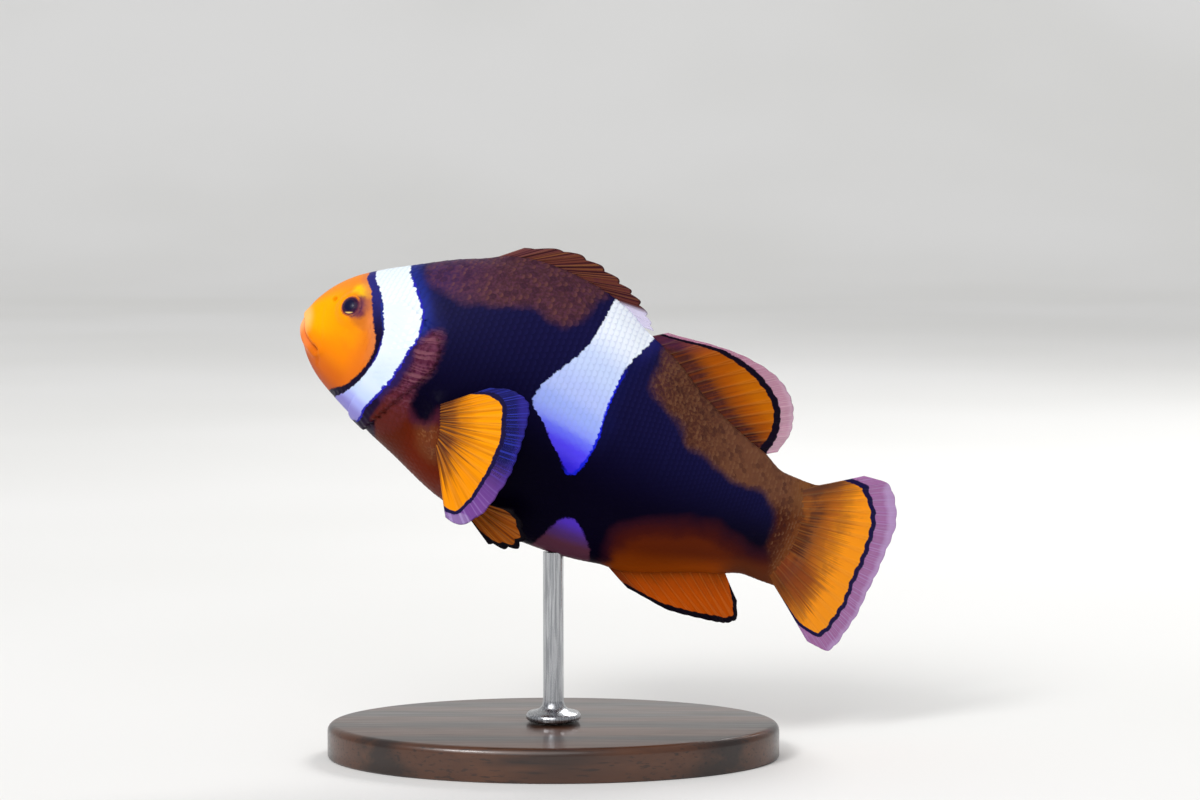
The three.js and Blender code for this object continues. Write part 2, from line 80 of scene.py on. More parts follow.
MOUTH_CORNER_FOLD = [(4.2, -0.4), (5.1, -1.4), (5.3, -2.9)]
SNOUT_EDGE = [(3, 5.2), (3.6, 3.2), (4.6, 1.2), (5.3, -0.6)]

# ---------- lines and outlines ----------


def smooth_line(pairs):
    """A smooth function through (place, value) pairs."""
    x, y = (np.array(column, float) for column in zip(*pairs))
    n = len(x)
    low, high = np.maximum(np.arange(n) - 1, 0), np.minimum(np.arange(n) + 1, n - 1)
    slope = (y[high] - y[low]) / (x[high] - x[low])

    def line(place):
        place = np.asarray(place, float)
        i = np.clip(np.searchsorted(x, place, side="right") - 1, 0, n - 2)
        span = x[i + 1] - x[i]
        t = np.clip((place - x[i]) / span, 0, 1)
        rise = t * t * (3 - 2 * t)
        ends = slope[i] * span * t * (1 - t) ** 2 - slope[i + 1] * span * t * t * (1 - t)
        return y[i] * (1 - rise) + y[i + 1] * rise + ends

    return line


def step(value, low, high):
    """Rises smoothly from 0 at low to 1 at high."""
    t = np.clip((np.asarray(value, float) - low) / (high - low), 0, 1)
    return t * t * (3 - 2 * t)


def bump(value, middle, width):
    """A soft hill, 1 at the middle, that is nearly gone two widths away."""
    return np.exp(-(((value - middle) / width) ** 2))


def rounded(points, parts=6, closed=False):
    """The same line with its corners rounded, as a list of more points."""
    p = np.array(points, float)
    n = len(p)
    made = []
    for i in range(n if closed else n - 1):
        if closed:
            a, b, c, d = p[i - 1], p[i], p[(i + 1) % n], p[(i + 2) % n]
        else:
            a, b, c, d = p[max(i - 1, 0)], p[i], p[i + 1], p[min(i + 2, n - 1)]
        for t in np.arange(parts) / parts:
            bow = t * t * (a - 2.5 * b + 2 * c - 0.5 * d)
            made.append(b + 0.5 * t * (c - a) + bow + t**3 * (1.5 * b - 0.5 * a - 1.5 * c + 0.5 * d))
    return made if closed else made + [p[-1]]


def from_line(line, s, h):
    """Distance to a side-view line, and how far along the line the nearest point is."""
    nearest = np.full(np.shape(s), np.inf)
    along = np.zeros(np.shape(s))
    passed = 0.0
    for (ax, az), (bx, bz) in zip(line[:-1], line[1:]):
        dx, dz = bx - ax, bz - az
        length = math.hypot(dx, dz)
        t = np.clip(((s - ax) * dx + (h - az) * dz) / max(length * length, TINY), 0, 1)
        away = np.hypot(s - ax - t * dx, h - az - t * dz)
        closer = away < nearest
        nearest = np.where(closer, away, nearest)
        along = np.where(closer, passed + t * length, along)
        passed += length
    return nearest, along


def within(outline, s, h):
    """Distance inside a closed side-view outline, negative outside it."""
    line = list(outline) + [outline[0]]
    inside = np.zeros(np.shape(s), bool)
    for (ax, az), (bx, bz) in zip(line[:-1], line[1:]):
        if az != bz:
            inside ^= ((az > h) != (bz > h)) & (s < ax + (h - az) * (bx - ax) / (bz - az))
    return np.where(inside, 1.0, -1.0) * from_line(line, s, h)[0]


# ---------- the body's surface ----------


def body_line(column):
    """A column of BODY as a smooth function of s, by its root, so that the snout is blunt."""
    line = smooth_line([(math.sqrt(row[0]), row[column]) for row in BODY])
    return lambda s: line(np.sqrt(np.maximum(s, 0)))


back, belly, flesh_half_width = body_line(1), body_line(2), body_line(3)


def half_width(s):
    thinning = np.clip((s - THINS_FROM) / (FLESH_END - THINS_FROM), 0, 1)
    return flesh_half_width(s) * np.sqrt(np.maximum(1 - thinning**2, 0))


def fullness(v):
    """How wide the body's section is at v, from the belly at 0 to the back at 1."""
    return np.maximum(v, 0) ** BELLY_ROUNDING * np.maximum(1 - v, 0) ** BACK_ROUNDING


FULLEST = fullness(BELLY_ROUNDING / (BELLY_ROUNDING + BACK_ROUNDING))


def flesh(s, turn):
    """A point of the smooth body. turn goes once round, from the belly up the left side to the back."""
    v = (1 - np.cos(turn)) / 2
    h = belly(s) + (back(s) - belly(s)) * v
    y = -np.sign(np.sin(turn)) * half_width(s) * fullness(v) / FULLEST
    return np.stack([s + 0 * h, y, h], -1)


def unit(vectors):
    return vectors / np.maximum(np.linalg.norm(vectors, axis=-1, keepdims=True), TINY)


def outward(s, turn):
    """The direction that the smooth body faces."""
    q = np.sqrt(np.maximum(s, 0))
    along = flesh((q + LITTLE) ** 2, turn) - flesh(np.maximum(q - LITTLE, 1e-6) ** 2, turn)
    return unit(np.cross(along, flesh(s, turn + LITTLE) - flesh(s, turn - LITTLE)))


def turn_at(s, h):
    """The turn of the left flank's point at a height."""
    v = (h - belly(s)) / (back(s) - belly(s))
    return np.arccos(np.clip(1 - 2 * v, -1, 1))


def bend(points):
    """Bends the straight fish along its two arcs."""
    x, y, z = points[..., 0], points[..., 1], points[..., 2]
    ahead, behind = np.maximum(HEAD_BEND[0] - x, 0), np.maximum(x - TAIL_BEND[0], 0)
    bent_x, bent_y = x, y
    for (start, radius), far, sign in ((HEAD_BEND, ahead, -1), (TAIL_BEND, behind, 1)):
        bent_x = np.where(far > 0, start + sign * (radius - y) * np.sin(far / radius), bent_x)
        bent_y = np.where(far > 0, radius - (radius - y) * np.cos(far / radius), bent_y)
    return np.stack([bent_x, bent_y, z], -1)


def tip_up(points):
    """Tips the fish's head up."""
    c, s = math.cos(PITCH), math.sin(PITCH)
    x, y, z = points[..., 0], points[..., 1], points[..., 2]
    return np.stack([x * c + z * s, y, z * c - x * s], -1)


ROD_TOP = tip_up(np.array([ROD_AT, 0, float(belly(ROD_AT))]))
STAND_SHIFT = np.array([-ROD_TOP[0], 0, BELLY_HEIGHT - ROD_TOP[2]])


def posed(points):
    """Points of the straight fish, in metres, where the model has them."""
    return (tip_up(bend(points)) + STAND_SHIFT) * MM


# ---------- what is raised and sunk in the skin ----------

GILL_OUTLINE = rounded(GILL_REAR + GILL_FRONT, closed=True)
GILL_MARGIN = rounded(GILL_REAR)
CHEEK_LINE = rounded(CHEEK_EDGE)
MOUTH_LINE = rounded(MOUTH)
MOUTH_FOLD = rounded(MOUTH_CORNER_FOLD)
SNOUT_FOLD = rounded(SNOUT_EDGE)
GILL_TOOTH, CHEEK_NOTCH = 0.9, 0.8  # the spacing of the teeth on each margin
# The low ridges that the middle fins stand on: height, on the back or not, and where each rises and falls away.
FIN_RIDGES = [(1.1, True, (44, 54), (70, 75)), (0.5, True, (21, 26), (44, 48)), (0.8, False, (53, 58), (70, 75))]

EYE_TURN = float(turn_at(*EYE_AT))
EYE_POINT = flesh(EYE_AT[0], EYE_TURN)
EYE_AXIS = outward(EYE_AT[0], EYE_TURN)


def from_eye(points):
    """Distance from the eye's axis, on either side."""
    away = np.where(points[..., 1:2] > 0, points * [1, -1, 1], points) - EYE_POINT
    return np.linalg.norm(away - (away @ EYE_AXIS)[..., None] * EYE_AXIS, axis=-1)


def gill_plate(s, h):
    """The gill cover stands over the flesh behind it, with small teeth and striae along its margin."""
    near, along = from_line(GILL_MARGIN, s, h)
    teeth = np.cos(2 * np.pi * along / GILL_TOOTH)
    inside = within(GILL_OUTLINE, s, h) + 0.16 * teeth * bump(near, 0, 0.8)
    plate = 0.42 * step(inside, -0.06, 0.2) * (1 - step(near, 2.2, 6.4))
    striae = 0.05 * teeth * bump(near, 0.9, 1.3) * step(inside, 0, 0.3)
    slit = 0.34 * bump(inside, -0.3, 0.2) * step(0.9 - near, 0, 0.3)
    return plate + striae - slit


def soft_relief(points):
    """Lips, folds, sockets and the fleshy roots of the fins, as a height in millimetres."""
    s, h = points[..., 0], points[..., 2]
    mouth = from_line(MOUTH_LINE, s, h)[0]
    lips, mouth_slit = bump(mouth, 0.72, 0.5), bump(mouth, 0, 0.15)
    relief = 0.36 * lips - 0.5 * mouth_slit
    relief -= 0.14 * bump(from_line(MOUTH_FOLD, s, h)[0], 0, 0.28)
    relief -= 0.08 * bump(from_line(SNOUT_FOLD, s, h)[0], 0, 0.4)
    cheek, along = from_line(CHEEK_LINE, s, h)
    relief -= (0.12 + 0.04 * np.cos(2 * np.pi * along / CHEEK_NOTCH)) * bump(cheek, 0, 0.3)
    eye = from_eye(points)
    rim, socket = 1 - step(eye, 1.75, 3.3), 1 - step(eye, 1.2, 1.62)
    relief += 0.62 * rim - 1.5 * socket
    nostril = np.hypot(s - NOSTRIL[0], h - NOSTRIL[1])
    relief += 0.1 * bump(nostril, 0.48, 0.16) - 0.55 * (1 - step(nostril, 0.12, 0.42))
    relief += 0.75 * bump(from_line(PECTORAL_ROOT, s, h)[0], 0, 1.5)
    relief += 0.35 * bump(from_line(PELVIC_ROOT, s, h)[0], 0, 1.3)
    middle, above = bump(np.abs(points[..., 1]), 0, 1), step(h - belly(s), 0, 8)
    for height, on_back, rises, falls in FIN_RIDGES:
        relief += height * middle * (above if on_back else 1 - above) * step(s, *rises) * (1 - step(s, *falls))
    return relief


# ---------- markings ----------
# Each is a closed outline in the side view. The skin and the scales carry, as one attribute each, how far
# inside it a point is, and the materials turn that into an edge.

HEAD_BAR_FRONT = [
    (6.9, 15.6), (8.3, 12.3), (10.3, 10.7), (12.2, 8.4), (13.4, 5.8), (14, 3), (13.6, 0.1), (12.4, -2.9),
    (10.7, -5.2), (9.3, -6.4), (8.4, -7.6), (7.4, -12),
]
HEAD_BAR_REAR = [
    (12.4, -12.5), (12.7, -8.7), (13.8, -7.9), (14.3, -6.9), (14.5, -5.7), (15.5, -3.8), (16.9, -0.6), (17.6, 2.2),
    (18, 4.5), (18.3, 7), (17.9, 9.3), (16.6, 11.3), (14.3, 13.5), (12.3, 15.5), (11.4, 19),
]
MARKINGS = {
    "head_bar": HEAD_BAR_FRONT + HEAD_BAR_REAR,
    "face": [
        (-4, 16), (5.4, 14.6), (7.2, 11.6), (9, 10.2), (10.3, 8.3), (11.6, 5.9), (12.8, 4), (13.1, 1.8), (12.5, -0.8),
        (11.1, -3.4), (9.8, -4.6), (8.5, -5.4), (7.4, -6.8), (6.2, -11), (-4, -11),
    ],
    "mid_bar": [
        (41.9, 25), (41.6, 21.7), (41.1, 19.2), (40.6, 15.6), (39.2, 12.4), (36.8, 8.5), (35.8, 5.6), (36.2, 4),
        (38.5, 2), (40.9, -0.3), (43.2, -2.5), (44.5, -3.2), (45.2, -2.6), (45.9, -0.3), (46.2, 3.3), (45.9, 7),
        (46.1, 10.8), (46.8, 14.6), (48.4, 17.8), (49.4, 21),
    ],
    "belly_patch": [
        (43, -18), (44, -14.6), (44.9, -12.3), (45.6, -10.6), (46.4, -9.7), (47.8, -9.6), (49.3, -10.8),
        (50.7, -12.4), (51.6, -13.9), (52.4, -18),
    ],
    "back_brown": [
        (14.4, 18), (15, 15.6), (16.8, 14.2), (19, 13.6), (21.4, 13.4), (23.7, 14.4), (26.5, 15.4), (30, 16.4),
        (32.5, 16.2), (34.9, 16), (37, 16.5), (38.1, 17.4), (38.9, 19.3), (39.6, 21.1), (40.4, 25), (14.6, 25),
    ],
    "rear_brown": [
        (50.4, 22), (50.4, 16.5), (50.8, 12.2), (53.9, 10.3), (56.8, 8.3), (58.3, 6.2), (61.2, 5.8), (64.2, 4.4),
        (68, 3.5), (71.3, 3.4), (72.9, 2.9), (74.2, 1.9), (75.1, 0.5), (75.4, -1.4), (75.5, -3.6), (77, -6), (79, -8),
        (86, -12), (92, 0), (90, 14), (60, 24),
    ],
    "lower_red": [
        (54.9, -18), (53.8, -13.4), (52.8, -10.4), (53.4, -8.2), (54.9, -6.8), (56.9, -5.7), (60.1, -4.5),
        (63.3, -3.2), (66.3, -2.6), (68.6, -3), (71.8, -4), (74.4, -4.4), (76.2, -3.6), (79, -2.4), (88, -1),
        (88, -18),
    ],
    "gill_rust": [
        (20, 8.6), (21.4, 8.4), (22.2, 6.4), (22.4, 4.3), (21.7, 2.4), (20.7, 0.7), (20.4, -0.9), (20.6, -3),
        (20.4, -5.6), (18.6, -8), (15.8, -9.6), (15, -8.6), (15.8, -6), (17.1, -3.4), (18.2, -0.8), (18.8, 1.8),
        (18.9, 3.9), (19.1, 5.6), (19.6, 7.2),
    ],
    "breast": [
        (14.4, -9.2), (16.4, -6.2), (18.8, -3.2), (21, -3.2), (22.4, -4.1), (23.6, -3.4), (25.2, -1.6), (28.4, -5.6),
        (31, -12), (33, -14), (35, -19), (12, -19),
    ],
    "yellow": [(6.6, 8.9), (6.5, 10), (8.3, 10.9), (9.9, 9), (9.9, 8.4), (8.6, 8.3), (7.6, 9)],
    # The rust and dark purple patches are painted shade behind the eye.
    "rust": [(7.9, 8.3), (9.9, 8.4), (10.7, 7.3), (10.3, 6.2), (10.6, 4.9), (9.6, 5), (8.4, 5.6), (7.7, 7)],
    "shade_behind_eye": [(7.9, 8.2), (8.8, 8.8), (10, 8.8), (10.2, 7.9), (10, 7), (9.8, 6.3), (9, 5.8), (8.2, 5.8), (7.8, 6.9)],
    "chin": [
        (11, -14), (11.6, -8.2), (13, -7.4), (14, -6), (14.8, -4.6), (15.8, -3.6), (16.6, -4), (16.2, -5.4),
        (15.8, -6.8), (16.6, -8.2), (16.4, -14),
    ],
    "fin_root": [(22.4, -5.2), (23.6, -4.4), (25, -3.6), (26.4, -5), (26.8, -9), (25, -9), (23.2, -7.4)],
}
MARKINGS = {name: rounded(outline, 4, closed=True) for name, outline in MARKINGS.items()}
WIDEST_MARK = 4  # distances past this are all the same to the materials
mouth_height = smooth_line(MOUTH)


def mark(mesh, s, h, **more):
    """Gives a mesh its attributes: every marking's distance, and the values in more."""
    values = {name: np.clip(within(outline, s, h), -WIDEST_MARK, WIDEST_MARK) for name, outline in MARKINGS.items()}
    values["lips"] = np.minimum(from_line(MOUTH_LINE, s, h)[0], WIDEST_MARK)
    values["jaw"] = np.clip(mouth_height(s) - h, -1, 1)
    values["fringe"] = 0.98 * h - 0.2 * s  # runs along the frayed edge of the gill cover
    values["height"] = (h - belly(s)) / (back(s) - belly(s))
    values["along"] = s
    values.update(more)
    for name, value in values.items():
        attribute = mesh.attributes.new(name, "FLOAT", "POINT")
        attribute.data.foreach_set("value", np.broadcast_to(value, len(mesh.vertices)).astype(np.float32))


# ---------- making pieces ----------

SEAM = 2e-6  # vertices closer than this, in metres, are one


def place_in_scene(name, data):
    """A mesh, lamp or camera as an object of the scene."""
    made = bpy.data.objects.new(name, data)
    bpy.context.scene.collection.objects.link(made)
    return made


def add_piece(name, mesh, replaced, material):
    """Puts a finished mesh in the scene as a piece that rides on the model."""
    mesh.materials.append(material)
    piece = place_in_scene(name, mesh)
    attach(piece, "root")
    if replaced:
        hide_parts(*replaced)


def grid(columns, rows):
    """A flat grid as a bmesh, and its vertices' places from 0 to 1 each way."""
    bm = bmesh.new()
    bmesh.ops.create_grid(bm, x_segments=columns, y_segments=rows, size=0.5)
    co = np.array([v.co for v in bm.verts])
    return bm, co[:, 0] + 0.5, co[:, 1] + 0.5


def finished(bm, name, crisp=None):
    """Ends a bmesh as a mesh with smooth faces, whose edges over crisp degrees stay sharp."""
    for face in bm.faces:
        face.smooth = True
    mesh = bpy.data.meshes.new(name)
    bm.to_mesh(mesh)
    bm.free()
    if crisp:
        mesh.set_sharp_from_angle(angle=math.radians(crisp))
    return mesh


def shaped(bm, name, points, values):
    """Moves a bmesh's vertices to points, closes its seams and poles, and returns it as a mesh with its values."""
    layers = {key: bm.verts.layers.float.new(key) for key in values}
    for i, vert in enumerate(bm.verts):
        vert.co = points[i]
        for key, layer in layers.items():
            vert[layer] = values[key][i]
    bmesh.ops.remove_doubles(bm, verts=bm.verts, dist=SEAM)
    bmesh.ops.dissolve_degenerate(bm, edges=bm.edges, dist=SEAM)
    bmesh.ops.recalc_face_normals(bm, faces=bm.faces)
    return finished(bm, name)


def turned(profile, steps, merge):
    """A closed shape turned about the upright axis from its half profile of (radius, height) points, with vertices
    closer than merge made one."""
    bm = bmesh.new()
    line = [bm.verts.new((radius, 0, height)) for radius, height in profile]
    for pair in zip(line[:-1], line[1:]):
        bm.edges.new(pair)
    bmesh.ops.spin(bm, geom=bm.verts[:] + bm.edges[:], cent=(0, 0, 0), axis=(0, 0, 1), angle=2 * math.pi,
                   steps=steps, use_merge=True)
    bmesh.ops.remove_doubles(bm, verts=bm.verts, dist=merge)
    bmesh.ops.recalc_face_normals(bm, faces=bm.faces)
    return bm


# ---------- materials ----------


def linear(colour):
    """An sRGB hex colour as the linear values that shaders use."""
    parts = [int(colour[i : i + 2], 16) / 255 for i in (1, 3, 5)]
    return tuple(c / 12.92 if c <= 0.04045 else ((c + 0.055) / 1.055) ** 2.4 for c in parts) + (1.0,)


def add(tree, kind, inputs=None, out=0, **settings):
    """Adds a node with its settings, values and links, and returns one of its outputs."""
    made = tree.nodes.new("ShaderNode" + kind)
    for key, value in settings.items():
        setattr(made, key, value)
    for place, value in (inputs or {}).items():
        if isinstance(value, bpy.types.NodeSocket):
            tree.links.new(value, made.inputs[place])
        else:
            made.inputs[place].default_value = value
    return made.outputs[out]


def surface_values(tree, textures, attributes, centred=()):
    """What a paint follows: the mesh's own attributes, and noise textures by their size in millimetres, of which
    the centred ones run either side of zero."""
    place = add(tree, "TexCoord", out="Object")
    values = {key: add(tree, "Attribute", out="Fac", attribute_name=key) for key in attributes}
    for key, size in textures.items():
        values[key] = add(tree, "TexNoise", {"Vector": place, "Scale": 1 / (size * MM), "Detail": 3.0})
    for key in centred:
        values[key] = add(tree, "Math", {0: values[key], 1: 0.5}, operation="SUBTRACT")
    return values


def new_material(name, paint_on):
    """A material whose surface is the shader that paint_on(tree) returns."""
    material = bpy.data.materials.new(name)
    material.use_nodes = True
    tree = material.node_tree
    tree.nodes.clear()
    output = tree.nodes.new("ShaderNodeOutputMaterial")
    tree.links.new(paint_on(tree), output.inputs["Surface"])
    return material


def coats(tree, sources, ground, rows):
    """Paint laid coat over coat. A row is a colour, its strength, and where it shows: each place is a source
    with the value at which the coat starts and the one at which it is full. Colours may be nodes' outputs."""
    paint = linear(ground) if isinstance(ground, str) else ground
    for colour, share, *places in rows:
        for source, bare, full in places:
            spread = add(tree, "MapRange", {0: sources[source], 1: bare, 2: full}, interpolation_type="SMOOTHSTEP")
            share = add(tree, "Math", {0: share, 1: spread}, operation="MULTIPLY")
        top = linear(colour) if isinstance(colour, str) else colour
        paint = add(tree, "Mix", {0: share, 6: paint, 7: top}, out=2, data_type="RGBA")
    return paint


def ramp(source, *steps):
    """Full coats that follow one another along a source, each with its colour and its two values."""
    return [(colour, 1, (source, bare, full)) for colour, bare, full in steps]


# Brown of the back and of the rear, whose scales have a slightly paler rear edge, which is a painted highlight.
BACK_BROWN = ("#422850", [
    ("#462830", 1, ("along", 16, 27)), ("#5C3448", 0.6, ("speckle", 0.4, 0.66)),
    # The paler rear edge of each scale is a painted highlight.
    ("#74483E", 0.45, ("scale_along", 0.6, 0.92), ("tint", 0.3, 0.9)), ("#2A1628", 0.4, ("tint", 0.35, 0)),
])
REAR_BROWN = ("#4A2830", [
    ("#4C2A22", 1, ("along", 50.5, 55)), ("#6A4230", 0.9, ("along", 58, 68)),
    ("#42190F", 1, ("along", 73, 75.8), ("height", 0.84, 0.6)),
    ("#7C4C28", 0.9, ("along", 75, 80), ("height", 0.6, 0.85)),
    ("#7A401A", 0.95, ("along", 76.4, 80.5), ("height", 0.85, 0.6)),
    ("#6C442E", 0.7, ("speckle", 0.38, 0.66), ("along", 76, 72.5)),
    ("#7A4A2A", 0.3, ("speckle", 0.46, 0.66), ("along", 72.5, 77)),
    ("#451A10", 0.5, ("along", 73.5, 75.5), ("along", 79, 77), ("height", 0.7, 0.5)),
    # The paler rear edge of each scale is a painted highlight.
    ("#80583E", 0.45, ("scale_along", 0.6, 0.92), ("tint", 0.3, 0.9)), ("#301A1C", 0.4, ("tint", 0.35, 0)),
])
# The frayed rear edge of the gill cover.
GILL_RUST = ("#5A201A", [
    ("#4C1C32", 1, ("height", 0.18, 0.4)), ("#6C3A52", 0.5, ("fine", -0.06, 0.14), ("height", 0.1, 0.4)),
    ("#34122A", 0.5, ("fine", 0, -0.14), ("height", 0.1, 0.4)),
    ("#6E3C52", 0.7, ("height", 0.5, 0.62), ("gill_rust", 0.1, 0.7)),
    ("#4A1C30", 0.5, ("striae", 0.44, 0.34), ("height", 0.3, 0.44)),
    ("#865460", 0.6, ("striae", 0.47, 0.6), ("cloud", -0.16, 0.04), ("height", 0.2, 0.4)),
])
# The flank: nearly black below, navy above, with a painted blue glow beside the bars, and soft brown, rust and red in
# their places.
FLANK = ("#030014", [
    ("#0D0B30", 1, ("height", 0.28, 0.7)), ("#14123C", 0.8, ("height", 0.55, 0.9)),
    # Painted blue glow beside the white bars: a navy highlight behind the head bar, purple-dark lower down, and navy
    # beside the mid bar.
    ("#1A1A4C", 1, ("head_bar soft", -4, -1.6), ("height", 0.45, 0.65)),
    ("#222E84", 1, ("head_bar soft", -2.6, -0.3), ("height", 0.5, 0.68)),
    ("#2A1C50", 1, ("head_bar", -2, -0.6), ("height", 0.62, 0.45), ("along", 11, 15)),
    ("#101140", 1, ("mid_bar soft", -3, -0.2), ("along", 41, 46), ("height", 0.4, 0.7)),
    ("#201E62", 1, ("mid_bar", -2.6, -0.2), ("along", 46, 48), ("height", 0.82, 0.98)),
    # A painted highlight on the scales' rear edges.
    ("#201E50", 0.35, ("scale_along", 0.6, 0.95), ("height", 0.4, 0.8)),
    ("back brown", 1, ("back_brown soft", -0.7, 1.2)),
    *ramp("lower_red soft", ("#2A0A18", -0.9, 0.6), ("#42120E", 0.2, 2.2), ("#5C2006", 1.9, 3.6)),
    ("#8E3C04", 1, ("lower_red soft", 0.4, 2.4), ("height", 0.15, 0), ("along", 75, 70)),
    ("#5A2810", 1, ("lower_red", 0.4, 2), ("height", 0.22, 0.06), ("along", 69, 74)),
    ("rear brown", 1, ("rear_brown soft", -0.6, 1.1)),
    *ramp("breast soft", ("#461828", -1, 0.6), ("#561A06", 0.2, 2)),
    ("#661C04", 0.8, ("breast soft", 0.6, 2.6), ("along", 20, 24)), ("#6E3C20", 0.6, ("fin_root soft", -1, 0.8)),
    ("#8E5A38", 0.4, ("fin_root", 0, 1), ("fine", 0, 0.14)), ("gill rust", 1, ("gill_rust soft", -0.7, 0.7)),
])
# The bars, each with a thin bright blue rim behind it that is a painted glow, the dark chin and the patch under the
# belly.
BARS = [
    ("face band", 1, ("face", -1.35, -1.15)), ("#180A28", 0.92, ("chin", -0.35, 0.25)),
    # The thin bright blue rims behind the bars are a painted glow.
    ("#2622A8", 1, ("head_bar", -0.4, -0.26), ("along", 13, 14.5)), ("head bar", 1, ("head_bar", -0.09, 0.09)),
    ("#1A22DC", 1, ("mid_bar", -0.45, -0.28), ("along", 43, 44.6), ("height", 0.86, 0.7)),
    ("mid bar", 1, ("mid_bar", -0.1, 0.1)), ("belly patch", 1, ("belly_patch", -0.25, 0.2)),
]
FACE_BAND = ("#150C28", [("#2C2A74", 1, ("height", 0.5, 0.85))])
# Painted shade: the head bar is white above and turns blue-violet lower down.
HEAD_BAR = ("#8070C8", [
    *ramp("height", ("#A2A6F0", 0.07, 0.13), ("#C4D4F2", 0.13, 0.19), ("#D8E6F8", 0.18, 0.28), ("#ECF4F8", 0.3, 0.5)),
    # A greyer band at each scale's visible root is painted shade under the scale that overlaps it.
    ("#B4C0DC", 0.2, ("scale_along", 0.68, 0.5)),
])
# Painted shade: the mid bar is white above and turns deep blue lower down.
MID_BAR = ("#3A28E4", [
    *ramp("height",
          ("#5444F4", 0.36, 0.42), ("#6A70F6", 0.43, 0.48), ("#8C9AF8", 0.475, 0.51), ("#9EB0F6", 0.5, 0.56),
          ("#B6C4F8", 0.56, 0.64), ("#C6D4F8", 0.64, 0.76), ("#F2F6FF", 0.76, 0.92)),
    # A greyer band at each scale's visible root is painted shade under the scale that overlaps it.
    ("#8E9CC8", 0.22, ("scale_along", 0.68, 0.5), ("height", 0.45, 0.6)),
])
# The belly's white patch, painted wholly in violet shade, redder at the bottom.
SHADED_BELLY_PATCH = ("#5A3042", [*ramp("height", ("#523070", 0.06, 0.11), ("#5434C0", 0.1, 0.17))])
# The orange face: yellow above the eye, painted shade in rust and dark purple behind it, paler lips.
FACE = ("#B04E20", [
    *ramp("height", ("#CE6212", 0.02, 0.16), ("#EE8206", 0.14, 0.34), ("#F79404", 0.3, 0.5)),
    ("#FBA600", 1, ("along", 7.5, 3), ("height", 0.28, 0.5)), ("#DC6E1E", 0.8, ("along", 9, 12)),
    ("#E0701A", 0.3, ("cloud", 0, 0.2)), ("#EA8230", 0.75, ("height", 0.74, 0.95)),
    # The rust and dark purple coats behind the eye are painted shade.
    ("#FBC010", 1, ("yellow", -0.5, 0.5)), ("#C4682A", 0.7, ("rust", -0.9, 0.2)),
    ("#6A2E44", 0.9, ("shade_behind_eye", -0.5, 0.3)), ("#4A2248", 0.8, ("shade_behind_eye", 0.1, 0.8)),
    ("#D67A48", 0.75, ("face", 1.5, 0.2), ("height", 0.3, 0.5)),
    ("#FFC27C", 0.75, ("lips", 2.6, 1), ("along", 3, 1.2), ("jaw", 0.1, -0.1)),
    ("#EE8648", 0.7, ("jaw", -0.1, 0.15), ("lips", 1.9, 1.1), ("along", 4, 2.4)),
    ("#FFC48C", 0.7, ("jaw", -0.1, 0.15), ("lips", 1.9, 1.1), ("along", 1.5, 0.3)),
    # Painted shade: a darker line in the slit of the mouth.
    ("#9A4A18", 0.7, ("lips", 0.2, 0.04)),
])
# The paints that the flank and the bars name in their rows.
NAMED_PAINTS = {
    "back brown": BACK_BROWN, "rear brown": REAR_BROWN, "gill rust": GILL_RUST, "face band": FACE_BAND,
    "head bar": HEAD_BAR, "mid bar": MID_BAR, "belly patch": SHADED_BELLY_PATCH,
}


def fish_skin(tree):
    """Painted fish skin, velvety, with a low soft shine in the paint's colour, so that the dark flank stays deep."""
    # The speckles stand for pigment cells, drawn coarser than they are. The gill's striae are about 0.7 mm apart.
    sources = surface_values(tree, {"fine": 0.5, "speckle": 0.4, "cloud": 5}, [
        "height", "along", "tint", "lips", "jaw", "fringe", "scale_along", *MARKINGS,
    ], centred=("fine", "cloud"))
    for key in MARKINGS:
        inside = sources[key]
        for kind, texture, sway in (("", "fine", 0.5), (" soft", "cloud", 2.6)):
            shifted = {0: sources[texture], 1: sway, 2: inside}
            sources[key + kind] = add(tree, "Math", shifted, operation="MULTIPLY_ADD")
    crooked = add(tree, "Math", {0: sources["cloud"], 1: 1.6, 2: sources["fringe"]}, operation="MULTIPLY_ADD")
    sources["striae"] = add(tree, "TexNoise", {"W": crooked, "Scale": 1.5}, noise_dimensions="1D")

    mixed = {key: coats(tree, sources, *part) for key, part in NAMED_PAINTS.items()}
    rows = [(mixed.get(colour, colour), *rest) for colour, *rest in FLANK[1] + BARS]
    paint = coats(tree, sources, FLANK[0], rows + [(coats(tree, sources, *FACE), 1, ("face", -0.12, 0.12))])

    return add(tree, "BsdfPrincipled", {
        "Base Color": paint,
        "Roughness": add(tree, "MapRange", {0: sources["fine"], 1: -0.2, 2: 0.2, 3: 0.4, 4: 0.52}),
        "Specular IOR Level": 0.14,
        "Specular Tint": add(tree, "Mix", {0: 0.85, 6: linear("#FFFFFF"), 7: paint}, out=2, data_type="RGBA"),
        "Normal": add(tree, "Bump", {"Strength": 0.2, "Distance": 0.03 * MM, "Height": sources["speckle"]}),
        "Subsurface Weight": 0.05, "Subsurface Scale": 0.4 * MM,
    })


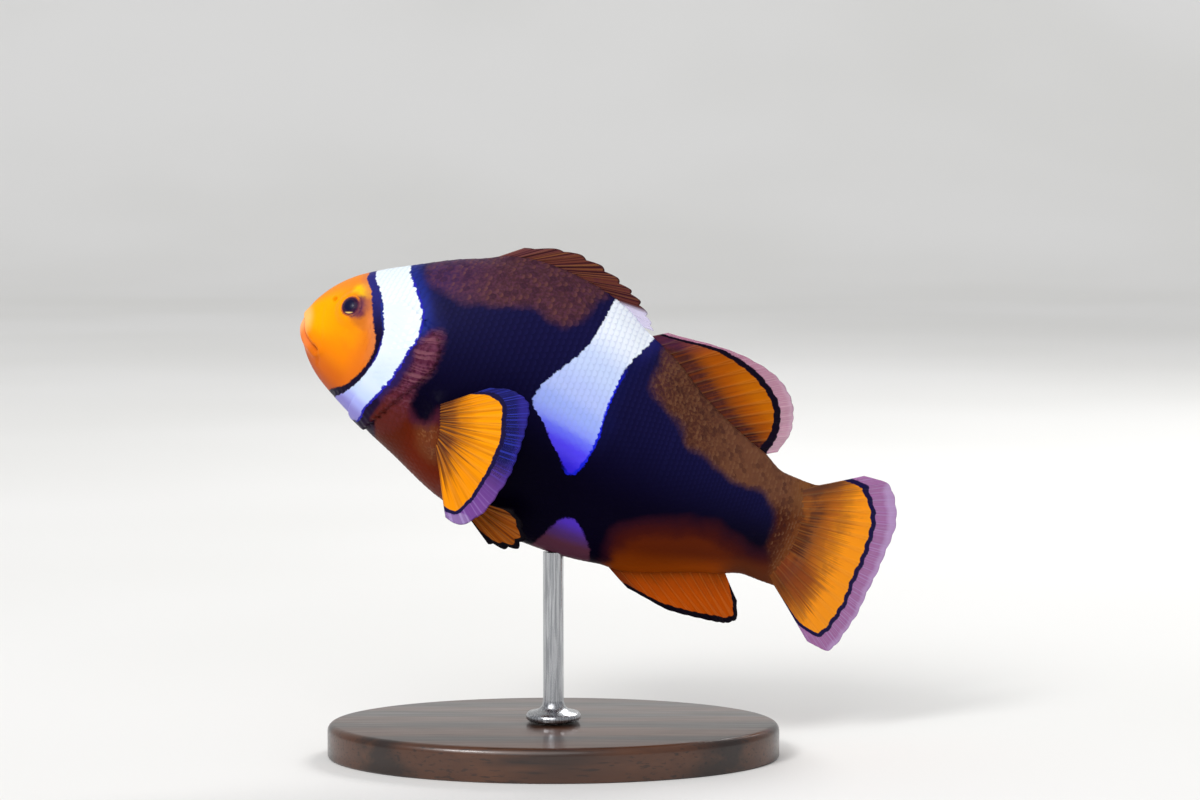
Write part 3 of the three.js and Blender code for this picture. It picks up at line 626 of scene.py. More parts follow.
# The fins. Each has its ground and coats from the root out ("uneven" is in millimetres from the root), then a dark
# line inside the margin, with its widths at the front and the rear, and outside it a film, clear by these shares at
# the front and the rear. Fray is how far the coats' ends run out in hairs, and sway how far they wander. A pale
# last part has its colour and the places across the fin where it starts and is full.
FIN_LOOKS = {
    "pectoral": {
        "ground": "#4A2018",
        "coats": [
            *ramp("uneven", ("#7E4218", 1.4, 3.4), ("#D07C02", 3, 5.6), ("#F49800", 5, 7.8)),
            ("#E88802", 0.8, ("across", 0.5, 0.85), ("uneven", 4, 7)),
            ("#6A360E", 0.9, ("stripes", 0.53, 0.63), ("uneven", 10, 4)), ("#C87406", 0.6, ("stripes", 0.5, 0.38)),
        ],
        "line": ("#17103A", 0.85, 0.5), "clear": (0.05, 0.35), "fray": 5,
        "film": ("#1A1A5C", [
            ("#3640B4", 0.7, ("ribs", 0.52, 0.68), ("across", 0.9, 0.6)), ("#3A30A0", 0.5, ("past", -1.2, -2.4)),
            ("#7A4A9C", 1, ("across", 0.6, 0.86)), ("#A482C8", 0.6, ("ribs", 0.5, 0.7), ("across", 0.7, 0.9)),
        ]),
    },
    "soft_dorsal": {
        "ground": "#41201C",
        "coats": [
            ("#4A221C", 1, ("across", 0.06, 0.3)), ("#3A1716", 0.8, ("across", 0.6, 0.9)),
            ("#5A2C22", 0.6, ("fine", -0.02, 0.1)), *ramp("uneven", ("#84400E", 2.2, 4), ("#A04C04", 3.4, 5.4)),
            ("#B86202", 1, ("uneven", 4.8, 8), ("across", 0.2, 0.5)),
            ("#74340A", 0.5, ("stripes", 0.52, 0.62), ("uneven", 7.5, 3.5)),
            ("#4A2040", 0.7, ("across", 0.24, 0.06), ("past", 3, 1.5)),
        ],
        "line": ("#0E0618", 0.35, 1.4), "clear": (0.35, 0.45), "fray": 1.6, "sway": 0.8,
        "film": ("#B0688A", [("#C890A8", 0.5, ("ribs", 0.5, 0.7)), ("#CFA4C4", 0.5, ("past", -1, -2))]),
    },
    "tail": {
        "ground": "#5E3018",
        "coats": [
            ("#6C3C24", 1, ("across", 0.6, 0.9)), ("#471A10", 0.9, ("across", 0.5, 0.3), ("uneven", 3.2, 1)),
            *ramp("uneven",
                  ("#96521E", 2.4, 4.4), ("#BA661E", 4, 6.2), ("#D8821C", 5.6, 8.4), ("#FF9A1A", 7.8, 10.4)),
            ("#8E4C1C", 0.5, ("stripes", 0.5, 0.62), ("uneven", 11, 5)),
            ("#A05A20", 0.5, ("cloud", 0, 0.12), ("uneven", 12, 9)),
            ("#843C1C", 0.75, ("across", 0.02, 0.14), ("across", 0.4, 0.26), ("uneven", 11, 6.5)),
            ("#5C3828", 0.8, ("across", 0.88, 0.98), ("uneven", 8.5, 5.5)),
            ("#7A4018", 0.7, ("across", 0.14, 0.04), ("uneven", 7.5, 4.5)),
        ],
        "line": ("#171040", 0.8, 0.9), "clear": (0.3, 0.3), "fray": 4,
        "film": ("#A0509C", [("#B084C8", 0.5, ("ribs", 0.48, 0.7)), ("#C49CD8", 0.7, ("past", -1.6, -2.8))]),
    },
    "anal": {
        "ground": "#8A3A02",
        "coats": [
            *ramp("uneven", ("#A64402", 0.8, 3.5), ("#B44A00", 3, 6)),
            ("#8E3A04", 0.4, ("stripes", 0.52, 0.64), ("uneven", 8, 4)), ("#5A200C", 0.8, ("across", 0.2, 0)),
        ],
        "line": ("#0A0410", 0.85, 1), "clear": (0.1, 0.1), "fray": 3,
        "film": ("#0C0612", []),
    },
    "spiny_dorsal": {
        "ground": "#4A2420",
        "coats": [
            ("#64322A", 1, ("uneven", 0.4, 2)), ("#582834", 0.7, ("cloud", 0, 0.12)),
            ("#80542A", 0.6, ("stripes", 0.53, 0.64), ("uneven", 2, 4)), ("#4A1E26", 0.6, ("across", 0.4, 0.74)),
            ("#70404A", 0.5, ("across", 0.2, 0.05)), ("#2C1018", 0.9, ("stripes", 0.49, 0.4), ("uneven", 0, 1.4)),
            ("#34161A", 0.5, ("ribs", 0.46, 0.38), ("uneven", 0.6, 2)),
        ],
        "line": ("#4A2824", 0.16, 0.16), "clear": (0.1, 0.1), "fray": 4, "pale": ("#D8D0EC", 0.74, 0.82),
        "film": ("#5A3630", []),
    },
    "pelvic": {
        "ground": "#4A1E0C",
        "coats": [
            *ramp("uneven", ("#7A3C08", 0.6, 3), ("#984A08", 5, 9)), ("#3A180C", 0.6, ("stripes", 0.52, 0.64)),
            ("#B0600C", 0.5, ("stripes", 0.46, 0.36)),
        ],
        "line": ("#08040C", 0.9, 0.9), "clear": (0.05, 0.05), "fray": 4,
        "film": ("#08040C", []),
    },
}
SWAY = 3.5


def fin_skin(look):
    """A thin painted membrane, satin, streaked along its rays, with the joints of the rays as faint steps."""

    def paint_on(tree):
        sources = surface_values(tree, {"fine": 0.5, "cloud": 3.5}, ["ray", "across", "out", "from_line", "stripe_at"],
                                 centred=("fine", "cloud"))
        across, out = sources["across"], sources["out"]
        ribs = add(tree, "Math", {0: sources["stripe_at"], 1: 2.6}, operation="MULTIPLY")
        for key, place, detail in (("stripes", sources["stripe_at"], 2.0), ("ribs", ribs, 1.0)):
            sources[key] = add(tree, "TexNoise", {"W": place, "Scale": 1.0, "Detail": detail}, noise_dimensions="1D")
        fray, sway = look["fray"], look.get("sway", SWAY)
        hairs = add(tree, "Math", {0: sources["ribs"], 1: 0.8, 2: sources["stripes"]}, operation="MULTIPLY_ADD")
        ends = add(tree, "Math", {0: hairs, 1: fray, 2: -0.9 * fray}, operation="MULTIPLY_ADD")
        uneven = add(tree, "Math", {0: sources["cloud"], 1: sway, 2: out}, operation="MULTIPLY_ADD")
        sources["uneven"] = add(tree, "Math", {0: uneven, 1: ends}, operation="ADD")
        past = add(tree, "Math", {0: sources["fine"], 1: 0.3, 2: sources["from_line"]}, operation="MULTIPLY_ADD")
        line, front, rear = look["line"]
        width = add(tree, "MapRange", {0: across, 3: front, 4: rear})
        sources["past"] = past
        sources["inside"] = add(tree, "Math", {0: past, 1: width}, operation="SUBTRACT")

        paint = coats(tree, sources, look["ground"], look["coats"] + [
            # A faint pale line on each ray's ridge is a painted highlight.
            ("#FFC870", 0.05, ("ray", 0.4, 1.0)),
            (line, 1, ("inside", 0.06, -0.06)),
            (coats(tree, sources, *look["film"]), 1, ("past", 0.06, -0.06)),
        ])
        front, rear = look["clear"]
        clear = add(tree, "MapRange", {0: across, 3: 1 - front, 4: 1 - rear})
        solid = add(tree, "MapRange", {0: past, 1: -0.1, 2: 0.1, 3: clear, 4: 1.0})
        if "pale" in look:
            colour, start, full = look["pale"]
            paint = coats(tree, sources, paint, [(colour, 1, ("across", start, full))])
            thin = add(tree, "MapRange", {0: across, 1: start, 2: full, 3: 1.0, 4: 0.55})
            solid = add(tree, "Math", {0: solid, 1: thin}, operation="MINIMUM")
        # A wave has a band to every 2 pi / 20 of its scaled vector, here in millimetres: joints 0.5 mm apart.
        along = add(tree, "CombineXYZ", {0: out})
        joints = add(tree, "TexWave", {"Vector": along, "Scale": 0.6}, bands_direction="X")
        steps = add(tree, "Math", {0: joints, 1: sources["ray"]}, operation="MULTIPLY")
        return add(tree, "BsdfPrincipled", {
            "Base Color": paint, "Roughness": 0.48, "Specular IOR Level": 0.18, "Alpha": solid,
            "Specular Tint": add(tree, "Mix", {0: 0.8, 6: linear("#FFFFFF"), 7: paint}, out=2, data_type="RGBA"),
            "Normal": add(tree, "Bump", {"Strength": 0.2, "Distance": 0.03 * MM, "Height": steps}),
        })

    return paint_on


# ---------- skin ----------

SKIN_ROUND, SKIN_ALONG = 272, 330  # faces round the body and along it


def skin_stations():
    """Distances of the skin's rings, closest on the head."""
    place = smooth_line([(0, 0), (0.1, 1), (0.2, 3.6), (0.45, 10.6), (0.63, 20), (0.7, 26), (1, FLESH_END)])
    return place(np.linspace(0, 1, SKIN_ALONG + 1))


def skin_turns():
    """Turns of the skin's lines, closest at the height of the eye and mouth on both sides."""
    fine = np.linspace(0, 2 * np.pi, 4001)
    eye = 1.8
    crowd = 1 + 1.6 * bump(fine, eye, 0.45) + 1.6 * bump(fine, 2 * np.pi - eye, 0.45)
    passed = np.cumsum(crowd) - crowd[0]
    return np.interp(np.linspace(0, 1, SKIN_ROUND + 1), passed / passed[-1], fine)


def tail_bow(s, h):
    """The flesh ends in a curve, not a straight cut."""
    return 0.022 * (h + 1) ** 2 * step(s, 74, FLESH_END)


def make_skin():
    """The whole body's skin in one piece, from the snout to the roots of the tail's rays."""
    bm, u, v = grid(SKIN_ROUND, SKIN_ALONG)
    s = skin_stations()[np.rint(v * SKIN_ALONG).astype(int)]
    turn = skin_turns()[np.rint(u * SKIN_ROUND).astype(int)]
    bare = flesh(s, turn)
    relief = soft_relief(bare) + gill_plate(s, bare[:, 2])
    calm = step(s, 0.02, 0.5)
    points = bare + outward(s, turn) * (relief * calm - COAT_DEPTH * calm)[:, None]
    points[:, 0] -= tail_bow(s, bare[:, 2])
    mesh = shaped(bm, "skin", posed(points), {"s": s, "h": bare[:, 2]})
    found = {}
    for key in ("s", "h"):
        found[key] = np.zeros(len(mesh.vertices))
        mesh.attributes[key].data.foreach_get("value", found[key])
        mesh.attributes.remove(mesh.attributes[key])
    mark(mesh, found["s"], found["h"], tint=0.5)
    flesh_nodes = ["lower_jaw", "head", "trunk", "tail_stem", "gill_cover_left", "gill_cover_right"]
    add_piece("skin", mesh, flesh_nodes, new_material("painted_fish_skin", fish_skin))


# ---------- scales ----------

RNG = np.random.default_rng(7)
SCALE_ACROSS, SCALE_ALONG = 6, 4  # faces of one scale
FOLLOW = 0.75  # 0 colours each scale as its middle, and 1 lets markings cross it
ROW_SPACING = 0.86  # how far apart the rows are, in widths of a scale
LEFT_TURNS = (0.004, np.pi - 0.004)  # scales stop just short of the seams on the back and belly
LONG, WIDE = 2.05, 0.62  # a scale's length in row spacings, and its half width in column spacings


def scale_pattern():
    """One scale as a closed shell: (place along, place across, lift) of its vertices, and its faces."""
    bm, across, along = grid(SCALE_ACROSS, SCALE_ALONG)
    across = across * 2 - 1
    place = along * (0.55 + 0.45 * np.sqrt(np.maximum(1 - across**2, 0)))
    side = 0.62 + 0.38 * step(place, 0, 0.45)
    lift = 0.075 * place**1.3 - 0.05 + 0.03 * (1 - across**2) * np.sin(np.pi * np.clip(along, 0, 1) * 0.8)
    for vert, values in zip(bm.verts, zip(place, across * side, lift)):
        vert.co = values
    rim = [edge for edge in bm.edges if edge.is_boundary]
    underside = bmesh.ops.holes_fill(bm, edges=rim, sides=0)["faces"]
    bmesh.ops.poke(bm, faces=underside)["verts"][0].co = (0.5, 0, -0.06)
    bmesh.ops.recalc_face_normals(bm, faces=bm.faces)
    bm.verts.index_update()
    shape = np.array([v.co for v in bm.verts])
    faces = [[v.index for v in face.verts] for face in bm.faces]
    bm.free()
    return shape, faces


def half_ring(s, count):
    """Turns once up the left side at a distance, and the steps between them in millimetres."""
    turns = np.linspace(0, np.pi, count)
    steps = np.linalg.norm(np.diff(flesh(np.full(count, s), turns), axis=0), axis=1)
    return turns, steps


def scale_rows(start, end, columns):
    """Rows of scales between two distances: each is its distance, its spacing, its count on one side, and whether
    it is staggered."""
    rows, s, odd = [], start, False
    while s < end:
        spacing = ROW_SPACING * half_ring(s, 60)[1].sum() / columns
        rows.append((s, spacing, columns, odd))
        odd = not odd
        s += spacing
    return rows


def row_centres(row):
    """The places of one row's scales on the left side: distance, turn, spacing, width and millimetres to a turn."""
    s, spacing, columns, odd = row
    turns, steps = half_ring(s, 241)
    girth = np.concatenate([[0], np.cumsum(steps)])
    places = (np.arange(columns) + (0.25 if odd else 0.75)) / columns * girth[-1]
    turn = np.interp(places, girth, turns)
    rate = np.interp(places, girth[1:], np.diff(girth) / np.diff(turns))
    ones = np.ones(columns)
    return np.stack([s * ones, turn, spacing * ones, girth[-1] / columns * ones, rate], 1)


def make_scales(name, side, rows, keep=None):
    """A coat piece: every scale of these rows that keep() allows, on one side of the fish."""
    shape, faces = SCALE
    centres = np.concatenate([row_centres(row) for row in rows])
    if keep:
        centres = centres[keep(centres[:, 0], flesh(centres[:, 0], centres[:, 1])[:, 2])]
    count = len(centres)
    s0, turn0, spacing, width, rate = (column[:, None] for column in centres.T)
    size = RNG.uniform(0.94, 1.06, (count, 1))
    skew = RNG.normal(0, 0.05, (count, 1))
    x, y, lift = (column[None, :] for column in shape.T)
    s = s0 + (x - 0.55) * LONG * spacing * size
    turn = turn0 + (y * WIDE * size + skew * (x - 0.5)) * width / rate
    on_left = np.clip(turn, *LEFT_TURNS)
    bare = flesh(s, on_left)
    raised = lift * np.minimum(width, 1.3) * RNG.uniform(0.85, 1.15, (count, 1))
    height = soft_relief(bare) + gill_plate(s0, flesh(s0, turn0)[..., 2]) + raised - COAT_DEPTH
    points = bare + outward(s, on_left) * height[..., None]
    points[..., 0] -= tail_bow(s, bare[..., 2])
    points[..., 1] *= side

    # The pattern's own faces, repeated once a scale, and turned over on the right side.
    order = faces if side > 0 else [face[::-1] for face in faces]
    sizes = np.tile([len(face) for face in order], count)
    corners = (np.concatenate(order)[None, :] + len(shape) * np.arange(count)[:, None]).ravel()
    mesh = bpy.data.meshes.new(name)
    mesh.vertices.add(count * len(shape))
    mesh.vertices.foreach_set("co", posed(points.reshape(-1, 3)).ravel())
    mesh.loops.add(len(corners))
    mesh.loops.foreach_set("vertex_index", corners)
    mesh.polygons.add(len(sizes))
    mesh.polygons.foreach_set("loop_start", np.concatenate([[0], np.cumsum(sizes)[:-1]]))
    mesh.update(calc_edges=True)
    mesh.polygons.foreach_set("use_smooth", np.ones(len(sizes), bool))

    # The bake map: a small patch for each scale, at its root's place on the unrolled skin.
    unrolled = np.concatenate([s0 / (FLESH_END + 2), (turn0 if side > 0 else 2 * np.pi - turn0) / (2 * np.pi)], 1)
    patch = unrolled[:, None, :] + 0.003 * (np.stack([x, y], -1) * [1, 0.5] - [0.5, 0])
    mesh.uv_layers.new(name="OFBake").data.foreach_set("uv", patch.reshape(-1, 2)[corners].ravel())
    mark_s = s0 + (s - s0) * FOLLOW
    mark_h = flesh(mark_s, np.clip(turn0 + (turn - turn0) * FOLLOW, *LEFT_TURNS))[..., 2]
    tint = np.broadcast_to(RNG.uniform(0, 1, (count, 1)), s.shape)
    mark(mesh, mark_s.ravel(), mark_h.ravel(), tint=tint.ravel(), scale_along=np.broadcast_to(x, s.shape).ravel())
    mesh.set_sharp_from_angle(angle=math.radians(50))
    add_piece(name, mesh, [], SCALED_SKIN)


EYE_CLEAR, MARGIN_CLEAR = 3.5, 0.6  # how far the scales keep off the eye and the edge of the gill cover
NAPE_HEIGHT, NAPE_END, CHEEK_END = 8.5, 18, 13  # where the head's scales end, above this height and below it


def head_zone(s, h):
    """In front of the line where the head's scales give way to the trunk's."""
    return s < np.where(h > NAPE_HEIGHT, NAPE_END + 0.1 * (h - NAPE_HEIGHT), CHEEK_END)


def on_head(s, h):
    """The head's scales keep off the snout, the eye, the gill cover's edge and the flesh behind it."""
    in_gill = within(GILL_OUTLINE, s, h)
    off_eye = np.hypot(s - EYE_AT[0], h - EYE_AT[1]) > EYE_CLEAR
    off_margin = from_line(GILL_MARGIN, s, h)[0] > MARGIN_CLEAR
    bare_snout = s <= 8.4 + 0.08 * (h - 8) ** 2 * (h < 8)
    past_gill = (in_gill < 0) & (s > 15.5 + 0.35 * np.abs(h - 6)) & (h < NAPE_HEIGHT)
    return off_eye & off_margin & ~bare_snout & ~past_gill & (head_zone(s, h) | (in_gill > 1.9))


def on_trunk(s, h):
    """The trunk's scales start behind the head's and run up to the gill cover."""
    return (within(GILL_OUTLINE, s, h) <= -0.25) & ~head_zone(s, h)


# ---------- fins ----------
# A fin's middle surface is a function of c, its place across from 0 to 1, and r, its reach from the root to 1 at
# the tips of the rays. Lean is the angle of the rays across it, in degrees, and length their length.

MIDDLE_FIN_SUNK, PAIRED_FIN_SUNK, TAIL_SUNK = 1.4, 1.6, 2.0  # how deep the rays start in the flesh
MEMBRANE = 0.18  # thickness


def middle_fin(line, base, lean, length, curl=0.0, below=False):
    """A fin along the middle of the back or belly."""
    angle, reach = smooth_line(lean), smooth_line(length)
    up = -1 if below else 1

    def place(c, r):
        s = base[0] + (base[1] - base[0]) * c
        stand = np.radians(angle(c))
        turn = stand + up * np.arctan(line(s + 0.5) - line(s - 0.5))
        root = MIDDLE_FIN_SUNK / np.sin(stand)
        out = r * (reach(c) + root) - root
        back_bend = curl * np.maximum(out, 0) ** 2  # the rays' tips bend rearward
        x = s + out * np.cos(turn) + back_bend * np.sin(turn)
        z = line(s) + up * (out * np.sin(turn) - back_bend * np.cos(turn))
        return np.stack([x, 0 * x, z], -1)

    return place


def paired_fin(root, lean, length, flare, cup):
    """A fin that fans out of the left flank from the line between two points. It stands off by flare degrees, and
    cup bends it back in."""
    angle, reach = smooth_line(lean), smooth_line(length)
    off = math.radians(flare)
    s, h = (np.array(column) for column in zip(*root))
    turns = turn_at(s, h)
    start, facing = flesh(s, turns), outward(s, turns)

    def place(c, r):
        c = np.asarray(c)[..., None]
        origin = start[0] * (1 - c) + start[1] * c
        out = unit(facing[0] * (1 - c) + facing[1] * c)
        rearward = unit(np.array([1.0, 0, 0]) - out * out[..., :1])
        upward = np.cross(out, rearward)
        turn = np.radians(angle(c))
        far = np.asarray(r)[..., None] * (reach(c) + PAIRED_FIN_SUNK) - PAIRED_FIN_SUNK
        stand_off = far * math.sin(off) - cup * np.maximum(far, 0) ** 2
        flat = far * math.cos(off)
        return origin + rearward * flat * np.cos(turn) + upward * flat * np.sin(turn) + out * stand_off

    return place


TAIL_LENGTH = smooth_line([(-1, 12.4), (-0.85, 17), (-0.5, 17.8), (0, 17.2), (0.5, 17.2), (0.85, 14.3), (1, 9.5)])


def tail_place(c, r):
    """The tail fin fans out of the stem's end, from below to above, in a slow fold."""
    t = 2 * c - 1
    turn = np.radians(-4 + 31 * t)
    out = r * (TAIL_LENGTH(t) + TAIL_SUNK) - TAIL_SUNK
    fold = 0.35 * np.sin(2.2 * np.pi * c + 0.6) * step(r, 0.3, 1)
    return np.stack([STEM_END + out * np.cos(turn), fold, -1 + 7.4 * t + out * np.sin(turn)], -1)


def stem_swell(points):
    """Half the thickness of the flesh that thins out over the roots of the tail's rays."""
    s, h = points[..., 0], points[..., 2]
    v = np.clip((h - belly(FLESH_END)) / (back(FLESH_END) - belly(FLESH_END)), 0, 1)
    past_end = s - FLESH_END + tail_bow(FLESH_END, h)
    return 0.62 * flesh_half_width(FLESH_END) * fullness(v) / FULLEST * (1 - step(past_end, -1.6, 2.4))


def ridge_height(x, r, spacing, branch):
    """How far a ray stands out of the membrane, from 0 to 1. Soft rays split in two at branch, and again."""
    away = x - np.rint(x)
    first, second = ((spread * step(r, start, 1.15) if branch < 1 else 0 * r)
                     for spread, start in ((0.2, branch), (0.09, branch + 0.28)))
    width = np.clip(0.17 / spacing, 0.05, 0.3)
    height = 0 * x
    for a in (-1, 1):
        for b in (-1, 1):
            height = np.maximum(height, bump(away, a * first + b * second, width))
    return height


def inside_line(place, c, r, line, sides):
    """Distance inward from the outer edge of a fin's dark line, whose distance from the rays' tips changes across
    the fin. Where a side has (widening, film), the line runs down that side too, and leaves it towards the root."""
    points, tips = place(c, r), place(c, 1 + 0 * r)
    along_ray = unit(tips - place(c, 1 - LITTLE + 0 * r))
    margin = place(np.minimum(c + LITTLE, 1), 1 + 0 * r) - place(np.maximum(c - LITTLE, 0), 1 + 0 * r)
    slant = np.maximum(np.linalg.norm(np.cross(along_ray, unit(margin)), axis=1), 0.6)
    away = [(np.linalg.norm(tips - points, axis=1) - smooth_line(line)(c)) * slant]
    for side, edge in zip(sides, (0, 1)):
        if side:
            widening, film = side
            away.append(np.linalg.norm(points - place(edge + 0 * c, r), axis=1) + widening * (1 - r) - film)
    rounding = 0.35
    return -rounding * np.log(sum(np.exp(-each / rounding) for each in away))


def rounded_edge(t):
    """Rises from 0 at an edge to 1 as a quarter circle does."""
    return np.sqrt(np.clip(1 - (1 - t) ** 2, 0, 1))


def make_fin(node, look, place, rays, rows, thick=(0.8, 0.3), branch=0.35, notch=0.012, stripes=3.2, side=1,
             per_ray=12, ripple=0.0, line=((0, 0), (1, 0)), down_sides=(None, None), swell=None):
    """A fin with raised rays on a thin membrane, both faces in one closed surface. Thick is a ray's thickness at
    root and tip, notch how far the margin draws in between rays, and stripes how many streaks there are to a ray."""
    bm, c, v = grid((rays - 1) * per_ray, 2 * rows)
    r = 1 - np.abs(2 * v - 1)
    face = np.where(v < 0.5, 1.0, -1.0)
    x = c * (rays - 1)
    reach = r * (1 - notch * (np.abs(x - np.rint(x)) * 2) ** 1.5)
    wave = ripple * np.sin(2 * np.pi * x / 3.1 + 3 * r) * step(reach, 0.35, 1)
    behind, ahead = np.minimum(c + LITTLE, 1), np.maximum(c - LITTLE, 0)
    across = place(behind, reach) - place(ahead, reach)
    normal = unit(np.cross(across, place(c, reach + LITTLE) - place(c, reach - LITTLE)))
    spacing = np.linalg.norm(across, axis=1) / (behind - ahead) / (rays - 1)
    ridge = ridge_height(x, r, spacing, branch)
    ray_thickness = thick[0] + (thick[1] - thick[0]) * r
    membrane = MEMBRANE + (thick[0] * 0.8 - MEMBRANE) * (1 - r) ** 5
    total = membrane + np.maximum(ray_thickness - membrane, 0) * ridge
    middle = place(c, reach) + normal * wave[:, None]
    if swell:
        total = np.hypot(total, 2 * swell(middle))
    # Both faces run together at the margin, at the two sides and at the root.
    edge = rounded_edge(np.clip((1 - r) * 14, 0, 1))
    edge = edge * rounded_edge(np.clip(np.minimum(c, 1 - c) * (rays - 1) * 5, 0, 1)) * np.sqrt(np.clip(r * 12, 0, 1))
    points = middle + normal * (face * total * edge / 2)[:, None]
    points[:, 1] *= side
    length = np.linalg.norm(place(c, 1 + 0 * r) - place(c, 0 * r), axis=1)
    mesh = shaped(bm, f"{node}_membrane", posed(points), {
        "ray": ridge,
        "across": c,
        "out": reach * length - PAIRED_FIN_SUNK,  # from about where the ray leaves the flesh
        "stripe_at": stripes * x,
        "from_line": inside_line(place, c, r, line, down_sides),
    })
    add_piece(f"{node}_membrane", mesh, [node], FIN_PAINT[look])


SPINY = middle_fin(
    back, (23.3, 46.6),
    [(0, 20), (0.3, 20), (0.6, 17), (0.85, 18), (1, 28)],
    [(0, 4.4), (0.2, 7), (0.5, 7.4), (0.8, 5), (1, 2)],
)
SOFT = middle_fin(
    back, (48.3, 70),
    [(0, 63), (0.1, 66), (0.25, 70), (0.4, 67), (0.6, 57), (0.8, 49), (1, 45)],
    [(0, 2.7), (0.1, 5.4), (0.2, 8.1), (0.3, 10.4), (0.4, 12), (0.5, 12.5), (0.6, 12), (0.7, 10.6),
     (0.8, 8.6), (0.9, 6), (1, 3)],
    curl=0.004,
)
ANAL = middle_fin(
    belly, (55, 71.8),
    [(0, 43), (0.3, 54), (0.7, 58), (1, 56)],
    [(0, 4.5), (0.25, 8), (0.55, 10.4), (0.85, 9.2), (1, 5.2)],
    curl=0.008, below=True,
)
PECTORAL = paired_fin(
    PECTORAL_ROOT,
    [(0, 46), (0.3, 37), (0.6, 13), (0.8, -13), (1, -53)],
    [(0, 11), (0.1, 15), (0.28, 17.8), (0.5, 16), (0.75, 14.2), (0.9, 13.8), (0.96, 13.3), (1, 11.4)],
    flare=36, cup=0.008,
)
PELVIC = paired_fin(
    PELVIC_ROOT,
    [(0, -26), (0.3, -15), (0.6, 1), (0.8, 16), (1, 32)],
    [(0, 10.6), (0.35, 12.6), (0.6, 12.2), (0.8, 10.2), (1, 8)],
    flare=20, cup=0.006,
)

# ---------- eyes ----------


def eye_paint(tree):
    """A painted glass eye under clear lacquer: navy pupil, dark iris with a gold glint below it that is a painted
    highlight, a rim that is orange in front and dark purple behind, which is painted shade."""
    sources = surface_values(tree, {"fine": 0.35}, ["from_axis", "low", "rearward"])
    ring = add(tree, "Math", {0: sources["fine"], 1: 0.3, 2: sources["from_axis"]}, operation="MULTIPLY_ADD")
    sources["ring"] = add(tree, "Math", {0: ring, 1: 0.15}, operation="SUBTRACT")
    paint = coats(tree, sources, "#F08A12", [
        # Painted shade on the rear of the eye, running on from the shade behind it.
        ("#5C2A48", 0.9, ("rearward", 0.3, 1.1)),
        ("#A8481C", 0.8, ("ring", 1.6, 1.42), ("rearward", 0.9, 0.3)),
        *ramp("ring", ("#5A1E38", 1.42, 1.3), ("#2A1030", 1.3, 1.12)),
        ("#40203A", 0.6, ("fine", 0.5, 0.65)),
        # The gold glint below the pupil is a painted highlight.
        ("#EBC070", 0.95, ("from_axis", 1.24, 1.12), ("from_axis", 0.72, 0.82), ("low", 0.88, 0.98)),
        ("#0B0A30", 1, ("from_axis", 0.84, 0.76)),
    ])
    return add(tree, "BsdfPrincipled", {
        "Base Color": paint, "Roughness": 0.35, "Specular IOR Level": 0.1, "Coat Weight": 0.1, "Coat Roughness": 0.03,
    })


def make_eye(word, side):
    """An eyeball turned about its axis, with a low dome of lens over the pupil."""
    steps, profile = 40, []
    for i in range(steps + 1):
        angle = math.pi * (i / steps - 0.5)
        radius, height = EYE_RADIUS * math.cos(angle), EYE_DEPTH * math.sin(angle)
        if height > 0:
            height += 0.16 * math.exp(-((radius / 1.15) ** 4))
        profile.append((radius if 0 < i < steps else 0, height))
    bm = turned(profile, 64, 1e-4)
    local = np.array([v.co for v in bm.verts])
    turn = np.array(Vector((0, 0, 1)).rotation_difference(Vector(EYE_AXIS)).to_matrix())
    points = local @ turn.T + (EYE_POINT - EYE_AXIS * EYE_SUNK)
    points[:, 1] *= side
    across = (local * [1, 1, 0]) @ turn.T
    mesh = shaped(bm, f"eyeball_{word}", posed(points), {
        "from_axis": np.hypot(local[:, 0], local[:, 1]) + 10 * (local[:, 2] < 0),
        "low": 0.37 * across[:, 0] - 0.93 * across[:, 2],
        "rearward": across[:, 0],
    })
    add_piece(f"eyeball_{word}", mesh, [f"eye_{word}"], EYE_PAINT)


# ---------- stand ----------


def dark_wood(tree):
    """Walnut under satin lacquer: fine straight grain along the base, open pores, a soft even shine. The rings show
    as bands about 9 mm wide, and the pores are drawn coarser than they are."""
    place = add(tree, "TexCoord", out="Object")
    lengthwise = add(tree, "Mapping", {"Vector": place, "Scale": (0.08, 1.0, 1.0)})
    warp = add(tree, "TexNoise", {"Vector": lengthwise, "Scale": 1 / (9 * MM)}, out="Color")
    bent = add(tree, "VectorMath", {0: warp, 1: (0.006, 0.006, 0.006), 2: lengthwise}, operation="MULTIPLY_ADD")
    rings = add(tree, "TexWave", {"Vector": bent, "Scale": 1 / (30 * MM), "Distortion": 4.0, "Detail": 3.0},
                out="Fac", bands_direction="Y")
    hair = add(tree, "Mapping", {"Vector": place, "Scale": (0.04, 1.0, 1.0)})
    pores = add(tree, "TexNoise", {"Vector": hair, "Scale": 1 / (0.4 * MM), "Detail": 3.0})
    shade = add(tree, "TexNoise", {"Vector": lengthwise, "Scale": 1 / (3 * MM), "Detail": 3.0})
    paint = coats(tree, {"rings": rings, "pores": pores, "shade": shade}, "#22120B", [
        ("#4A2A18", 1, ("rings", 0.1, 0.9)), ("#5E3820", 0.5, ("shade", 0.5, 0.7)),
        ("#150A06", 0.7, ("pores", 0.56, 0.68)),
    ])
    rough = add(tree, "MapRange", {0: pores, 1: 0.3, 2: 0.7, 3: 0.28, 4: 0.38})
    relief = add(tree, "Bump", {"Strength": 0.2, "Distance": 0.05 * MM, "Height": pores})
    return add(tree, "BsdfPrincipled", {
        "Base Color": paint, "Roughness": rough, "Normal": relief, "Coat Weight": 0.35, "Coat Roughness": 0.12,
    })


